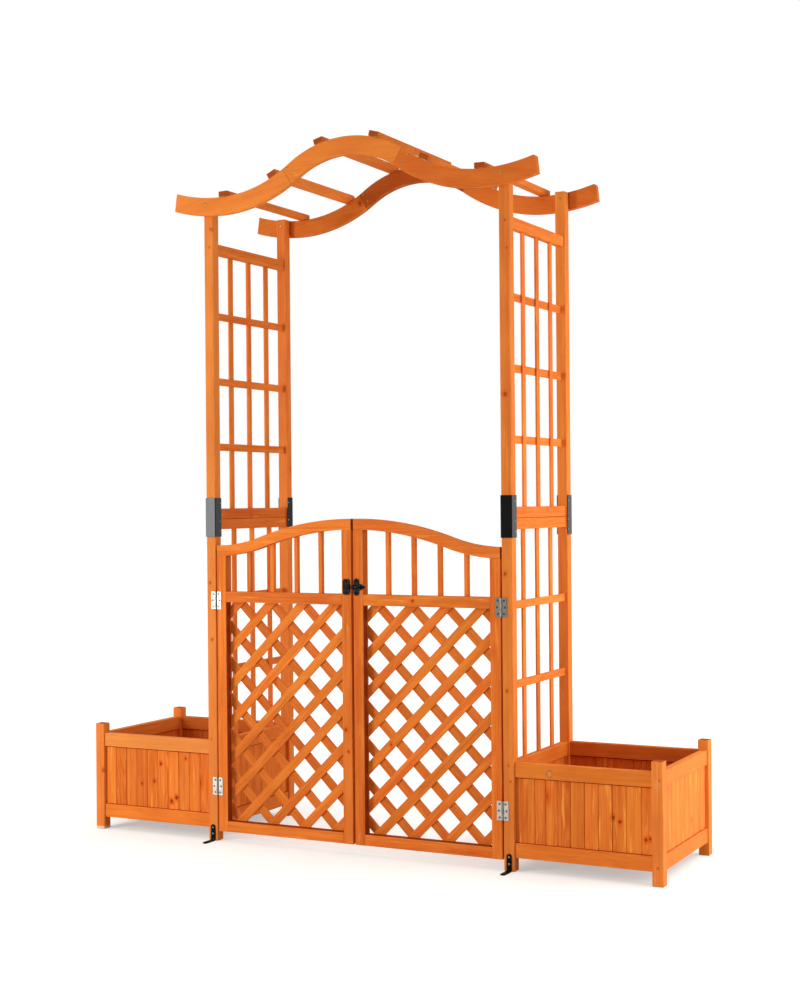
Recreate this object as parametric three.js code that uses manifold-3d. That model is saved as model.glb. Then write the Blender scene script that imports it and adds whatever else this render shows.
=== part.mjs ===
import * as THREE from 'three';
import { mergeVertices } from 'three/addons/utils/BufferGeometryUtils.js';
import Module from 'manifold-3d';

// Garden arch with a pair of gate leaves and a planter box on each side.
// Millimetres, Z up. X runs across the walkway, the gate is on the -Y side,
// and the origin is on the ground under the middle of the whole object.

// Timber and fits
const postWidth = 34;
const postArris = 2;
const railThickness = 24;
const panelRailHeight = 34;
const lathWidth = 24;
const lathThickness = 6;
const jointOverlap = 1;
const housing = 4;
const fitGap = 0.3;
const cutOverrun = 5;
const weldTolerance = 1e-4;

// Arch posts and their joining sleeves
const walkwayWidth = 1016;
const archDepth = 488;
const lowerPostHeight = 1050;
const sleeveHeight = 127;
const sleeveBelowJoint = 58;
const sleeveThickness = 2;

// Curved beams, three lapped segments each, seen from the front
const beamThickness = 20;
const beamDepth = 58;
const crownRise = 147;
const crownRadius = 335;
const dipReach = 466;
const dipHeight = 2065;
const tipReach = 638;
const tipRadius = 600;
const tipCutAngle = THREE.MathUtils.degToRad(8);
const lapReach = 197;
const lapLength = 40;
const beamStep = 18;

// Purlins, placed along the beam as shares of the length from its middle to its dip
const purlinWidth = 34;
const purlinThickness = 18;
const purlinShares = [-0.975, -0.555, -0.18, 0.18, 0.555, 0.975];

// Side trellis
const trellisDrop = 84;
const trellisRungCount = 3;
const lowerRungCount = 2;
const slatCount = 3;

// Planter boxes. The boards are equal but for the right box's front wall, whose joints are listed
// outward from the arch as shares of the wall's length.
const planterLength = 458.5;
const planterWallTop = 325;
const planterPostRise = 32;
const planterRailHeight = 44;
const planterRailLift = 41;
const boardCount = 10;
const mixedJointShares = [0.145, 0.227, 0.311, 0.409, 0.511, 0.612, 0.712, 0.813, 0.92];
const boardThickness = 10;
const grooveWidth = 4;
const grooveDepth = 1.6;
const floorSlatCount = 8;
const floorSlatWidth = 45;
const floorSlatThickness = 10;
const floorClearance = 1.5;
const floorBattenWidth = 30;
const floorBattenThickness = 15;

// Gate leaves
const hingeGap = 5;
const centreGap = 8;
const leafLift = 33;
const leafFrameWidth = 34;
const leafRise = 86;
const inflectionShare = 1 / 3;
const balusterPanelHeight = 236;
const balusterCount = 4;
const balusterWidth = 14;
const topRailSteps = 12;
const stripWidth = 29;
const stripThickness = 5;
const latticeRows = 6;

// Butt hinges, mounted on the front faces
const hingeHeight = 58;
const hingePlateReach = 19;
const hingePlateThickness = 2;
const barrelRadius = 3;
const barrelGap = 0.5;
const pinRadius = 1.4;
const pinClearance = 0.5;
const lowerHingeRise = 117;
const roundSides = 16;

// Slide bolt and its keeper
const latchRise = 23;
const boltSize = 8;
const boltLength = 49;
const boltProud = 5;
const boltThrow = 15;
const boltStopGap = 0.5;
const guideClearance = 0.4;
const guideWall = 2;
const outerGuideLength = 7.5;
const knobRadius = 2.5;
const knobLength = 10;
const casePlateThickness = 2;
const casePlateInset = 2;
const casePlateWidth = 19;
const casePlateHeight = 54;
const caseArmHeight = 20;
const caseArmReach = 34;
const keeperPlateThickness = 1.4;
const keeperInset = 3;
const keeperWidth = 27;
const keeperHeight = 50;
const keeperClearance = 1;
const stapleInset = 5;
const stapleLength = 10;

// Ground anchors
const anchorWidth = 16;
const anchorThickness = 3;
const anchorHeight = 53;
const anchorReach = 56;

// Sizes that follow from the ones above
const postX = (walkwayWidth + postWidth) / 2;
const postY = (archDepth - postWidth) / 2;
const postHalf = postWidth / 2;
const halfDepth = archDepth / 2;
const bayHalf = halfDepth - postWidth;
const railHalf = railThickness / 2;
const beamHalf = beamDepth / 2;
const trellisHeight = dipHeight - beamHalf - trellisDrop - lowerPostHeight;
const crownHeight = dipHeight + crownRise;
const crownCentreHeight = crownHeight - crownRadius;
const dipAboveCentre = dipHeight - crownCentreHeight;
const sideRadius = (dipReach ** 2 + dipAboveCentre ** 2 - crownRadius ** 2)
	/ (2 * (crownRadius - dipAboveCentre));
const sweep = Math.asin(dipReach / (crownRadius + sideRadius));
const crownLength = crownRadius * sweep;
const dipDistance = crownLength + sideRadius * sweep;
const tipSweep = Math.asin((tipReach - dipReach) / tipRadius);
const beamHalfLength = dipDistance + tipRadius * tipSweep;
const tipSkew = beamHalf * Math.tan(tipSweep - tipCutAngle);
const lapDistance = dipDistance - sideRadius * Math.asin((dipReach - lapReach) / sideRadius);
const planterWallInnerX = postX + postHalf;
const cornerPostInnerX = planterWallInnerX + planterLength - postWidth;
const cornerPostX = cornerPostInnerX + postHalf;
const planterBottomRailTop = planterRailLift + planterRailHeight;
const evenJointShares = Array.from({ length: boardCount - 1 }, (_, index) => (index + 1) / boardCount);
const leafWidth = (walkwayWidth - 2 * hingeGap - centreGap) / 2;
const pinX = (walkwayWidth - hingeGap) / 2;
const pinY = -halfDepth - barrelRadius;
const leafFront = barrelRadius;
const leafBack = leafFront + leafFrameWidth;
const leafPeakHeight = lowerPostHeight - leafLift;
const leafHingeHeight = leafPeakHeight - leafRise;
const middleRailHeight = leafPeakHeight - balusterPanelHeight;
const leafOpeningWidth = leafWidth - 2 * leafFrameWidth;
const leafOpeningHeight = middleRailHeight - 2 * leafFrameWidth;
const railSweep = 2 * Math.atan(leafRise / leafWidth);
const railRadii = leafWidth / Math.sin(railSweep);
const hollowRadius = railRadii * inflectionShare;
const moundRadius = railRadii - hollowRadius;
const hollowCentreHeight = leafHingeHeight + hollowRadius;
const moundCentreHeight = leafPeakHeight - moundRadius;
const latchHeight = middleRailHeight + latchRise;
const frontReach = halfDepth + Math.max(anchorReach, beamThickness);
const rearReach = halfDepth + beamThickness;

// Finishes
const postFinish = { color: 0xd97a35, roughness: 0.62, metalness: 0 };
const railFinish = { color: 0xe0853e, roughness: 0.62, metalness: 0 };
const boardFinish = { color: 0xd3722f, roughness: 0.66, metalness: 0 };
const latticeFinish = { color: 0xdd8038, roughness: 0.64, metalness: 0 };
const blackFinish = { color: 0x1b1c1e, roughness: 0.45, metalness: 0.85 };
const zincFinish = { color: 0xc9cacb, roughness: 0.35, metalness: 0.9 };

const sides = [
	{ sideName: 'left', side: -1 },
	{ sideName: 'right', side: 1 },
];
const rows = [
	{ rowName: 'front', row: -1 },
	{ rowName: 'rear', row: 1 },
];

const wasm = await Module();
wasm.setup();

// Adds one named piece with a material of its own to a group.
function addPiece(group, name, geometry, finish) {
	const piece = new THREE.Mesh(geometry, new THREE.MeshStandardMaterial({ ...finish, flatShading: true }));
	piece.name = name;
	group.add(piece);
	return piece;
}

function toSolid(geometry) {
	const bare = geometry.clone();
	bare.deleteAttribute('normal');
	bare.deleteAttribute('uv');
	const merged = mergeVertices(bare, weldTolerance);
	const vertProperties = merged.attributes.position.array;
	const triVerts = Uint32Array.from(merged.index.array);
	return new wasm.Manifold(new wasm.Mesh({ numProp: 3, vertProperties, triVerts }));
}

function toGeometry(solid) {
	const mesh = solid.getMesh();
	const geometry = new THREE.BufferGeometry();
	geometry.setAttribute('position', new THREE.BufferAttribute(new Float32Array(mesh.vertProperties), 3));
	geometry.setIndex(new THREE.BufferAttribute(new Uint32Array(mesh.triVerts), 1));
	geometry.computeVertexNormals();
	return geometry;
}

function joinSolids(geometries) {
	return geometries.map(toSolid).reduce((joined, next) => joined.add(next));
}

function join(geometries) {
	return toGeometry(joinSolids(geometries));
}

// Box between two corners, given in any order.
function box(xFrom, xTo, yFrom, yTo, zFrom, zTo) {
	const width = Math.abs(xTo - xFrom);
	const depth = Math.abs(yTo - yFrom);
	const height = Math.abs(zTo - zFrom);
	const geometry = new THREE.BoxGeometry(width, depth, height);
	geometry.translate((xFrom + xTo) / 2, (yFrom + yTo) / 2, (zFrom + zTo) / 2);
	return geometry;
}

function shapeOf(points) {
	return new THREE.Shape(points.map(([across, up]) => new THREE.Vector2(across, up)));
}

// Prism whose outline lies in plan, in X and Y, and stands between two heights.
function column(points, zFrom, zTo) {
	const geometry = new THREE.ExtrudeGeometry(shapeOf(points), { depth: zTo - zFrom, bevelEnabled: false });
	geometry.translate(0, 0, zFrom);
	return geometry;
}

// Prism whose outline lies in elevation, in X and Z, and runs from front to back.
function plank(points, yFrom, yTo) {
	const geometry = new THREE.ExtrudeGeometry(shapeOf(points), { depth: 1, bevelEnabled: false });
	const placing = new THREE.Matrix4().set(
		1, 0, 0, 0,
		0, 0, yFrom - yTo, yTo,
		0, 1, 0, 0,
		0, 0, 0, 1,
	);
	return geometry.applyMatrix4(placing);
}

// Upright cylinder round the local Z axis.
function rod(radius, zFrom, zTo) {
	const geometry = new THREE.CylinderGeometry(radius, radius, zTo - zFrom, roundSides);
	geometry.rotateX(Math.PI / 2);
	geometry.translate(0, 0, (zFrom + zTo) / 2);
	return geometry;
}

// Square post with its four long edges taken off.
function postGeometry(width, zFrom, zTo) {
	const half = width / 2;
	const flat = half - postArris;
	const points = [
		[-half, -flat], [-flat, -half], [flat, -half], [half, -flat],
		[half, flat], [flat, half], [-flat, half], [-half, flat],
	];
	return column(points, zFrom, zTo);
}

// Centres of equal pieces that leave equal gaps between them and at both ends.
function evenCentres(from, to, width, count) {
	const pitch = (to - from + width) / (count + 1);
	return Array.from({ length: count }, (_, index) => from - width / 2 + pitch * (index + 1));
}

// Beam centre line

// Point at a signed distance along the beam from its middle, offset square to the curve, up being positive.
function beamPoint(distance, offset) {
	const side = Math.sign(distance) || 1;
	const reach = Math.abs(distance);
	if (reach <= crownLength) {
		const angle = reach / crownRadius;
		const radius = crownRadius + offset;
		return [side * radius * Math.sin(angle), crownCentreHeight + radius * Math.cos(angle)];
	}
	const hangRadius = reach <= dipDistance ? sideRadius : tipRadius;
	const angle = (reach - dipDistance) / hangRadius;
	const radius = hangRadius - offset;
	return [side * (dipReach + radius * Math.sin(angle)), dipHeight + hangRadius - radius * Math.cos(angle)];
}

// Slope of the beam at that distance, as a turn about Y.
function beamTurn(distance) {
	const side = Math.sign(distance) || 1;
	const reach = Math.abs(distance);
	if (reach <= crownLength) {
		return side * reach / crownRadius;
	}
	const hangRadius = reach <= dipDistance ? sideRadius : tipRadius;
	return side * (dipDistance - reach) / hangRadius;
}

function beamTopHeight(reach) {
	const hangRadius = reach <= dipReach ? sideRadius : tipRadius;
	return dipHeight + hangRadius - Math.sqrt((hangRadius - beamHalf) ** 2 - (reach - dipReach) ** 2);
}

// Outline of a stretch of beam. The skews lean the end cuts, moving each top corner along the beam.
function beamOutline(from, to, fromSkew, toSkew) {
	const stations = [];
	const first = from + Math.abs(fromSkew) + beamStep / 4;
	const last = to - Math.abs(toSkew) - beamStep / 4;
	for (let index = Math.ceil(first / beamStep); index * beamStep < last; index += 1) {
		stations.push(index * beamStep);
	}
	const top = [from + fromSkew, ...stations, to + toSkew];
	const bottom = [from - fromSkew, ...stations, to - toSkew].reverse();
	return [
		...top.map((station) => beamPoint(station, beamHalf)),
		...bottom.map((station) => beamPoint(station, -beamHalf)),
	];
}

// Beam segment in two layers that are stepped at each half-lap joint.
function beamSegment(start, end) {
	const layers = [-1, 1].map((layer) => {
		const from = start.distance + layer * start.step + start.gap;
		const to = end.distance + layer * end.step - end.gap;
		const outline = beamOutline(from, to, start.skew, end.skew);
		const middle = beamThickness / 2;
		return plank(outline, middle + Math.min(layer, 0) * middle, middle + Math.max(layer, 0) * middle);
	});
	return join(layers);
}

function buildBeams(group) {
	const tip = (side) => ({ distance: side * beamHalfLength, step: 0, gap: 0, skew: side * tipSkew });
	const lap = (side) => ({ distance: side * lapDistance, step: lapLength / 2, gap: fitGap / 2, skew: 0 });
	const segments = [
		{ segmentName: 'left', start: tip(-1), end: lap(-1) },
		{ segmentName: 'crown', start: lap(-1), end: lap(1) },
		{ segmentName: 'right', start: lap(1), end: tip(1) },
	];
	for (const { rowName, row } of rows) {
		for (const { segmentName, start, end } of segments) {
			const name = `beam_${rowName}_${segmentName}`;
			const piece = addPiece(group, name, beamSegment(start, end), railFinish);
			piece.position.y = row < 0 ? -halfDepth - beamThickness : halfDepth;
		}
	}
}

function buildPurlins(group) {
	const length = archDepth + 2 * beamThickness;
	const hangRadius = sideRadius - beamHalf;
	const chordRise = hangRadius - Math.sqrt(hangRadius ** 2 - (purlinWidth / 2) ** 2);
	purlinShares.forEach((share, index) => {
		const distance = share * dipDistance;
		const hollow = Math.abs(distance) > crownLength ? chordRise : 0;
		const [x, z] = beamPoint(distance, beamHalf + fitGap + hollow + purlinThickness / 2);
		const geometry = new THREE.BoxGeometry(purlinWidth, length, purlinThickness);
		const piece = addPiece(group, `purlin_${index + 1}`, geometry, railFinish);
		piece.position.set(x, 0, z);
		piece.rotation.y = beamTurn(distance);
	});
}

// U-shaped sleeve round the outer three faces of a post.
function sleeveGeometry(row) {
	const outer = postHalf + sleeveThickness;
	const points = [
		[-outer, -row * postHalf], [-outer, row * outer], [outer, row * outer], [outer, -row * postHalf],
		[postHalf, -row * postHalf], [postHalf, row * postHalf], [-postHalf, row * postHalf],
		[-postHalf, -row * postHalf],
	];
	return column(points, 0, sleeveHeight);
}

function buildPosts(group) {
	const upperLength = beamTopHeight(postX) - lowerPostHeight;
	for (const { rowName, row } of rows) {
		for (const { sideName, side } of sides) {
			const corner = `${rowName}_${sideName}`;
			const lower = postGeometry(postWidth, 0, lowerPostHeight);
			const upper = postGeometry(postWidth, 0, upperLength);
			addPiece(group, `post_${corner}_lower`, lower, postFinish).position.set(side * postX, row * postY, 0);
			addPiece(group, `post_${corner}_upper`, upper, postFinish)
				.position.set(side * postX, row * postY, lowerPostHeight);
			addPiece(group, `sleeve_${corner}`, sleeveGeometry(row), blackFinish)
				.position.set(side * postX, row * postY, lowerPostHeight - sleeveBelowJoint);
		}
	}
}

// Slats and rungs that cross between two heights. The slats lie on one side of the panel's middle plane
// and the rungs on the other, each let into the rails or notched over the laths it crosses.
function trellisLaths(slatSide, zFrom, zTo, rungCount) {
	const slats = evenCentres(-bayHalf, bayHalf, lathWidth, slatCount).map((centre) => box(
		0, slatSide * lathThickness,
		centre - lathWidth / 2, centre + lathWidth / 2,
		zFrom - housing, zTo + housing,
	));
	const rungs = evenCentres(zFrom, zTo, lathWidth, rungCount).map((centre) => box(
		slatSide * jointOverlap, -slatSide * lathThickness,
		-bayHalf, bayHalf,
		centre - lathWidth / 2, centre + lathWidth / 2,
	));
	return [...slats, ...rungs];
}

function bayRail(zFrom, zTo) {
	return box(-railHalf, railHalf, -bayHalf, bayHalf, zFrom, zTo);
}

// Tongued boards side by side along X, with a V groove at each joint on both faces.
function boards(length, zFrom, zTo, jointShares) {
	const half = boardThickness / 2;
	const joints = jointShares.map((share) => length * (share - 1 / 2));
	const face = (joint, v) => [
		[joint - grooveWidth / 2, v], [joint, v - Math.sign(v) * grooveDepth], [joint + grooveWidth / 2, v],
	];
	const points = [
		[-length / 2, -half],
		...joints.flatMap((joint) => face(joint, -half)),
		[length / 2, -half],
		[length / 2, half],
		...joints.toReversed().flatMap((joint) => face(joint, half).reverse()),
		[-length / 2, half],
	];
	return column(points, zFrom, zTo);
}

// Boarded wall with a rail above and below, centred on its local origin and running along X.
function boardedWall(length, jointShares = evenJointShares) {
	const railBottom = planterWallTop - planterRailHeight;
	return [
		box(-length / 2, length / 2, -railHalf, railHalf, planterRailLift, planterBottomRailTop),
		boards(length, planterBottomRailTop - housing, railBottom + housing, jointShares),
		box(-length / 2, length / 2, -railHalf, railHalf, railBottom, planterWallTop),
	];
}

function turned(geometry) {
	geometry.rotateZ(Math.PI / 2);
	return geometry;
}

function buildSides(group) {
	const trellisTop = lowerPostHeight + trellisHeight;
	const upperClear = [lowerPostHeight + panelRailHeight, trellisTop - panelRailHeight];
	const lowerClear = [planterWallTop, lowerPostHeight - panelRailHeight];
	for (const { sideName, side } of sides) {
		const upper = join([
			bayRail(lowerPostHeight, upperClear[0]),
			bayRail(upperClear[1], trellisTop),
			...trellisLaths(side, ...upperClear, trellisRungCount),
		]);
		const lower = join([
			...boardedWall(2 * bayHalf).map(turned),
			bayRail(lowerClear[1], lowerPostHeight),
			...trellisLaths(-side, ...lowerClear, lowerRungCount),
		]);
		addPiece(group, `trellis_${sideName}_upper`, upper, latticeFinish).position.x = side * postX;
		addPiece(group, `trellis_${sideName}_lower`, lower, latticeFinish).position.x = side * postX;
	}
}

// End wall of a planter with its two corner posts.
function planterEnd() {
	const posts = rows.map(({ row }) => {
		const post = postGeometry(postWidth, 0, planterWallTop + planterPostRise);
		post.translate(0, row * postY, 0);
		return post;
	});
	return join([...boardedWall(2 * bayHalf).map(turned), ...posts]);
}

// Slatted floor that hangs between the front and rear walls on the ledges of their bottom rails.
function planterFloor(length) {
	const reach = postY - boardThickness / 2 - floorClearance;
	const start = -length / 2 + floorSlatWidth / 2;
	const pitch = (length - floorSlatWidth) / (floorSlatCount - 1);
	const slats = Array.from({ length: floorSlatCount }, (_, index) => {
		const centre = start + index * pitch;
		const half = floorSlatWidth / 2;
		return box(centre - half, centre + half, -reach, reach, 0, floorSlatThickness);
	});
	const battens = rows.map(({ row }) => {
		const centre = row * reach / 2;
		const half = floorBattenWidth / 2;
		return box(-length / 2, length / 2, centre - half, centre + half, -floorBattenThickness, jointOverlap);
	});
	return join([...slats, ...battens]);
}

function buildPlanters(group) {
	const wallLength = cornerPostInnerX - planterWallInnerX;
	const wallCentre = (cornerPostInnerX + planterWallInnerX) / 2;
	for (const { sideName, side } of sides) {
		for (const { rowName, row } of rows) {
			const mixed = side > 0 && row < 0;
			const wall = join(boardedWall(wallLength, mixed ? mixedJointShares : evenJointShares));
			addPiece(group, `planter_${sideName}_${rowName}_wall`, wall, boardFinish)
				.position.set(side * wallCentre, row * postY, 0);
		}
		addPiece(group, `planter_${sideName}_end`, planterEnd(), boardFinish).position.x = side * cornerPostX;
		addPiece(group, `planter_${sideName}_floor`, planterFloor(wallLength - 2 * floorClearance), boardFinish)
			.position.set(side * wallCentre, 0, planterBottomRailTop);
	}
}

// Gate leaf. Its group stands on the hinge pin's axis, so turning the group about Z opens the leaf.
// The distance inward is measured from the leaf's hinge edge towards the middle of the gate.

function inward(side, distance) {
	return -side * (hingeGap / 2 + distance);
}

function leafBox(side, from, to, yFrom, yTo, zFrom, zTo) {
	return box(inward(side, from), inward(side, to), yFrom, yTo, zFrom, zTo);
}

function leafStile(side, edge, top) {
	const stile = postGeometry(leafFrameWidth, 0, top);
	stile.translate(inward(side, edge + leafFrameWidth / 2), leafFront + leafFrameWidth / 2, 0);
	return stile;
}

// Underside of the curved top rail at a distance inward.
function railUnderside(distance) {
	const hollow = hollowRadius + leafFrameWidth;
	const mound = moundRadius - leafFrameWidth;
	if (distance < hollow * Math.sin(railSweep)) {
		return hollowCentreHeight - Math.sqrt(hollow ** 2 - distance ** 2);
	}
	return moundCentreHeight + Math.sqrt(mound ** 2 - (leafWidth - distance) ** 2);
}

// Points along an edge of the top rail, from the hinge edge to the middle of the gate.
function railEdge(depth) {
	const hollow = hollowRadius + depth;
	const mound = moundRadius - depth;
	const points = [];
	for (let step = 0; step < topRailSteps; step += 1) {
		const angle = railSweep * step / topRailSteps;
		points.push([hollow * Math.sin(angle), hollowCentreHeight - hollow * Math.cos(angle)]);
	}
	for (let step = topRailSteps; step >= 0; step -= 1) {
		const angle = railSweep * step / topRailSteps;
		points.push([leafWidth - mound * Math.sin(angle), moundCentreHeight + mound * Math.cos(angle)]);
	}
	return points;
}

const hingeSeat = leafHingeHeight - leafFrameWidth;
const latchSeat = railUnderside(leafWidth - leafFrameWidth);

// Top rail in an S curve with flat seats for the stiles and the balusters let into its underside.
function topRail(side) {
	const inner = leafWidth - leafFrameWidth;
	const underside = railEdge(leafFrameWidth).filter(([distance]) => (
		distance > leafFrameWidth + postArris && distance < inner - postArris
	));
	const outline = [
		...railEdge(0),
		[leafWidth, latchSeat],
		[inner, latchSeat],
		...underside.reverse(),
		[leafFrameWidth, hingeSeat],
		[0, hingeSeat],
	];
	const rail = plank(outline.map(([distance, z]) => [inward(side, distance), z]), leafFront, leafBack);
	const middle = (leafFront + leafBack) / 2;
	const half = balusterWidth / 2;
	const centres = evenCentres(leafFrameWidth, leafWidth - leafFrameWidth, balusterWidth, balusterCount);
	const balusters = centres.map((centre) => leafBox(
		side,
		centre - half, centre + half,
		middle - half, middle + half,
		middleRailHeight, railUnderside(centre) + housing,
	));
	return join([rail, ...balusters]);
}

// One layer of parallel diagonal strips over the opening. The turn is the lean of the strips.
function stripLayer(side, yFrom, turn) {
	const pitch = leafOpeningHeight / latticeRows;
	const reach = leafOpeningHeight + leafOpeningWidth;
	const first = -Math.ceil(reach / pitch);
	const last = Math.ceil(leafOpeningWidth / pitch);
	const centreX = inward(side, leafWidth / 2);
	const strips = [];
	for (let index = first; index <= last; index += 1) {
		const strip = new THREE.BoxGeometry(2 * reach, stripThickness, stripWidth);
		strip.rotateY(turn);
		const height = leafFrameWidth + leafOpeningHeight + (index + 1 / 2) * pitch;
		strip.translate(centreX, yFrom + stripThickness / 2, height);
		strips.push(strip);
	}
	return joinSolids(strips);
}

// Diagonal lattice panel in two crossing layers, standing on the bottom rail.
function latticePanel(side) {
	const layerTurn = Math.PI / 4;
	const rear = leafBack - stripThickness;
	const crossed = stripLayer(side, rear - stripThickness, -layerTurn).add(stripLayer(side, rear, layerTurn));
	const opening = toSolid(leafBox(
		side,
		leafFrameWidth + fitGap, leafWidth - leafFrameWidth - fitGap,
		leafFront, leafBack + cutOverrun,
		leafFrameWidth - housing, leafFrameWidth + leafOpeningHeight - fitGap,
	));
	const rail = toSolid(leafBox(
		side,
		leafFrameWidth, leafWidth - leafFrameWidth,
		leafFront, leafBack,
		0, leafFrameWidth,
	));
	return toGeometry(crossed.intersect(opening).add(rail));
}

// Hinge plate beside the pin. The direction points from the pin across the plate,
// and the knuckles are the stretches of the barrel that this plate carries.
function hingePlate(direction, knuckles) {
	const back = leafFront;
	const front = leafFront - hingePlateThickness;
	const plateStart = direction * (barrelRadius + barrelGap);
	return joinSolids([
		box(plateStart, direction * hingePlateReach, front, back, 0, hingeHeight),
		...knuckles.map(([from, to]) => rod(barrelRadius, from, to)),
		...knuckles.map(([from, to]) => box(0, plateStart + direction * jointOverlap, front, back, from, to)),
	]);
}

function gateHingePlate(side) {
	const knuckle = [hingeHeight / 3 + fitGap, hingeHeight * 2 / 3 - fitGap];
	const bore = toSolid(rod(pinRadius + pinClearance, -cutOverrun, hingeHeight + cutOverrun));
	return toGeometry(hingePlate(-side, [knuckle]).subtract(bore));
}

function postHingePlate(side) {
	const knuckles = [[0, hingeHeight / 3], [hingeHeight * 2 / 3, hingeHeight]];
	const pin = toSolid(rod(pinRadius, fitGap, hingeHeight - fitGap));
	return toGeometry(hingePlate(side, knuckles).add(pin));
}

// Latch pieces lie on the leaf's front face. The distance inset is measured from the leaf's meeting edge.
function latchBox(side, insetFrom, insetTo, standFrom, standTo, zFrom, zTo) {
	return leafBox(side, leafWidth - insetFrom, leafWidth - insetTo, leafFront - standFrom, leafFront - standTo,
		latchHeight + zFrom, latchHeight + zTo);
}

// Bridge over the bolt: two side walls and a front wall standing on the plate.
function latchBridge(side, insetFrom, insetTo, standFrom, holeHalf, holeDepth) {
	const outer = holeHalf + guideWall;
	const front = holeDepth + guideWall;
	return [
		latchBox(side, insetFrom, insetTo, standFrom, front, holeHalf, outer),
		latchBox(side, insetFrom, insetTo, standFrom, front, -outer, -holeHalf),
		latchBox(side, insetFrom, insetTo, holeDepth, front, -outer, outer),
	];
}

const boltBack = casePlateThickness + guideClearance;
const boltFront = boltBack + boltSize;
const knobInset = caseArmReach - outerGuideLength - boltStopGap - knobRadius;
const innerGuideEnd = knobInset - knobRadius - boltThrow - boltStopGap;

function latchKeeper(side) {
	const half = keeperHeight / 2;
	const plate = latchBox(side, keeperInset, keeperInset + keeperWidth, 0, keeperPlateThickness, -half, half);
	const holeHalf = boltSize / 2 + keeperClearance;
	const staple = latchBridge(side, stapleInset, stapleInset + stapleLength, 0,
		holeHalf, boltFront + keeperClearance);
	return join([plate, ...staple]);
}

function latchCase(side) {
	const half = casePlateHeight / 2;
	const armHalf = caseArmHeight / 2;
	const holeHalf = boltSize / 2 + guideClearance;
	const holeDepth = boltFront + guideClearance;
	const plateEnd = casePlateInset + casePlateWidth;
	return join([
		latchBox(side, casePlateInset, plateEnd, 0, casePlateThickness, -half, half),
		latchBox(side, casePlateInset, caseArmReach, 0, casePlateThickness, -armHalf, armHalf),
		...latchBridge(side, casePlateInset, innerGuideEnd, 0, holeHalf, holeDepth),
		...latchBridge(side, caseArmReach - outerGuideLength, caseArmReach, 0, holeHalf, holeDepth),
	]);
}

// Square bolt with a round finger knob, drawn back as far as the outer guide lets it go.
function latchBolt(side) {
	const half = boltSize / 2;
	const bar = latchBox(side, -boltProud, boltLength - boltProud, boltBack, boltFront, -half, half);
	const knob = rod(knobRadius, boltBack + guideClearance, boltFront + knobLength);
	knob.rotateX(Math.PI / 2);
	knob.translate(inward(side, leafWidth - knobInset), leafFront, latchHeight);
	return join([bar, knob]);
}

function buildLeaf(group, sideName, side) {
	const leaf = new THREE.Group();
	leaf.position.set(side * pinX, pinY, leafLift);
	group.add(leaf);
	const name = (piece) => `gate_${sideName}_${piece}`;
	const inner = leafWidth - leafFrameWidth;
	addPiece(leaf, name('hinge_stile'), leafStile(side, 0, hingeSeat - fitGap), postFinish);
	addPiece(leaf, name('latch_stile'), leafStile(side, inner, latchSeat - fitGap), postFinish);
	addPiece(leaf, name('top_rail'), topRail(side), railFinish);
	addPiece(
		leaf,
		name('middle_rail'),
		leafBox(side, leafFrameWidth, inner, leafFront, leafBack, middleRailHeight - leafFrameWidth, middleRailHeight),
		railFinish,
	);
	addPiece(leaf, name('lattice'), latticePanel(side), latticeFinish);
	const hingeRises = { upper: middleRailHeight - hingeHeight, lower: lowerHingeRise };
	for (const [level, rise] of Object.entries(hingeRises)) {
		addPiece(leaf, name(`${level}_hinge_plate`), gateHingePlate(side), zincFinish).position.z = rise;
		addPiece(group, `post_${sideName}_${level}_hinge_plate`, postHingePlate(side), zincFinish)
			.position.set(side * pinX, pinY, leafLift + rise);
	}
	return leaf;
}

function buildGate(group) {
	const [left, right] = sides.map(({ sideName, side }) => buildLeaf(group, sideName, side));
	addPiece(left, 'latch_keeper', latchKeeper(-1), blackFinish);
	addPiece(right, 'latch_case', latchCase(1), blackFinish);
	addPiece(right, 'latch_bolt', latchBolt(1), blackFinish);
}

// Angle bracket on the front face of a post, with a foot that lies forward on the ground.
function anchorGeometry() {
	const half = anchorWidth / 2;
	return join([
		box(-half, half, -anchorThickness, 0, 0, anchorHeight),
		box(-half, half, -anchorReach, 0, 0, anchorThickness),
	]);
}

function buildAnchors(group) {
	for (const { sideName, side } of sides) {
		addPiece(group, `ground_anchor_${sideName}`, anchorGeometry(), blackFinish)
			.position.set(side * postX, -halfDepth, 0);
	}
}

const gardenArch = new THREE.Group();
const standing = new THREE.Group();
standing.position.y = (frontReach - rearReach) / 2;
gardenArch.add(standing);
buildPosts(standing);
buildBeams(standing);
buildPurlins(standing);
buildSides(standing);
buildPlanters(standing);
buildGate(standing);
buildAnchors(standing);

export default gardenArch;
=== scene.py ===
import math
import random

import bmesh
import bpy
from mathutils import Matrix, Vector


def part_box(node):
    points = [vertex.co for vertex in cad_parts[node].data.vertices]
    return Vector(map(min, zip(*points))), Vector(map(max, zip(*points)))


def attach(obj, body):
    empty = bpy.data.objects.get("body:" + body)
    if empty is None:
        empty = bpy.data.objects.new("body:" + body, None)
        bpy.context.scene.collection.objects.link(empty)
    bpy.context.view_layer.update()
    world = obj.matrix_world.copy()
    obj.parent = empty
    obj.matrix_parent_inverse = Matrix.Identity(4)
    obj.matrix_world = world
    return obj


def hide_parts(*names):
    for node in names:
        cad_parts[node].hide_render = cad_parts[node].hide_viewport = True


# Looks of a garden arch with a pair of gate leaves and two planter boxes.
# Metres, in the frame of the solids. Each timber part is rebuilt board by board.

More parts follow.
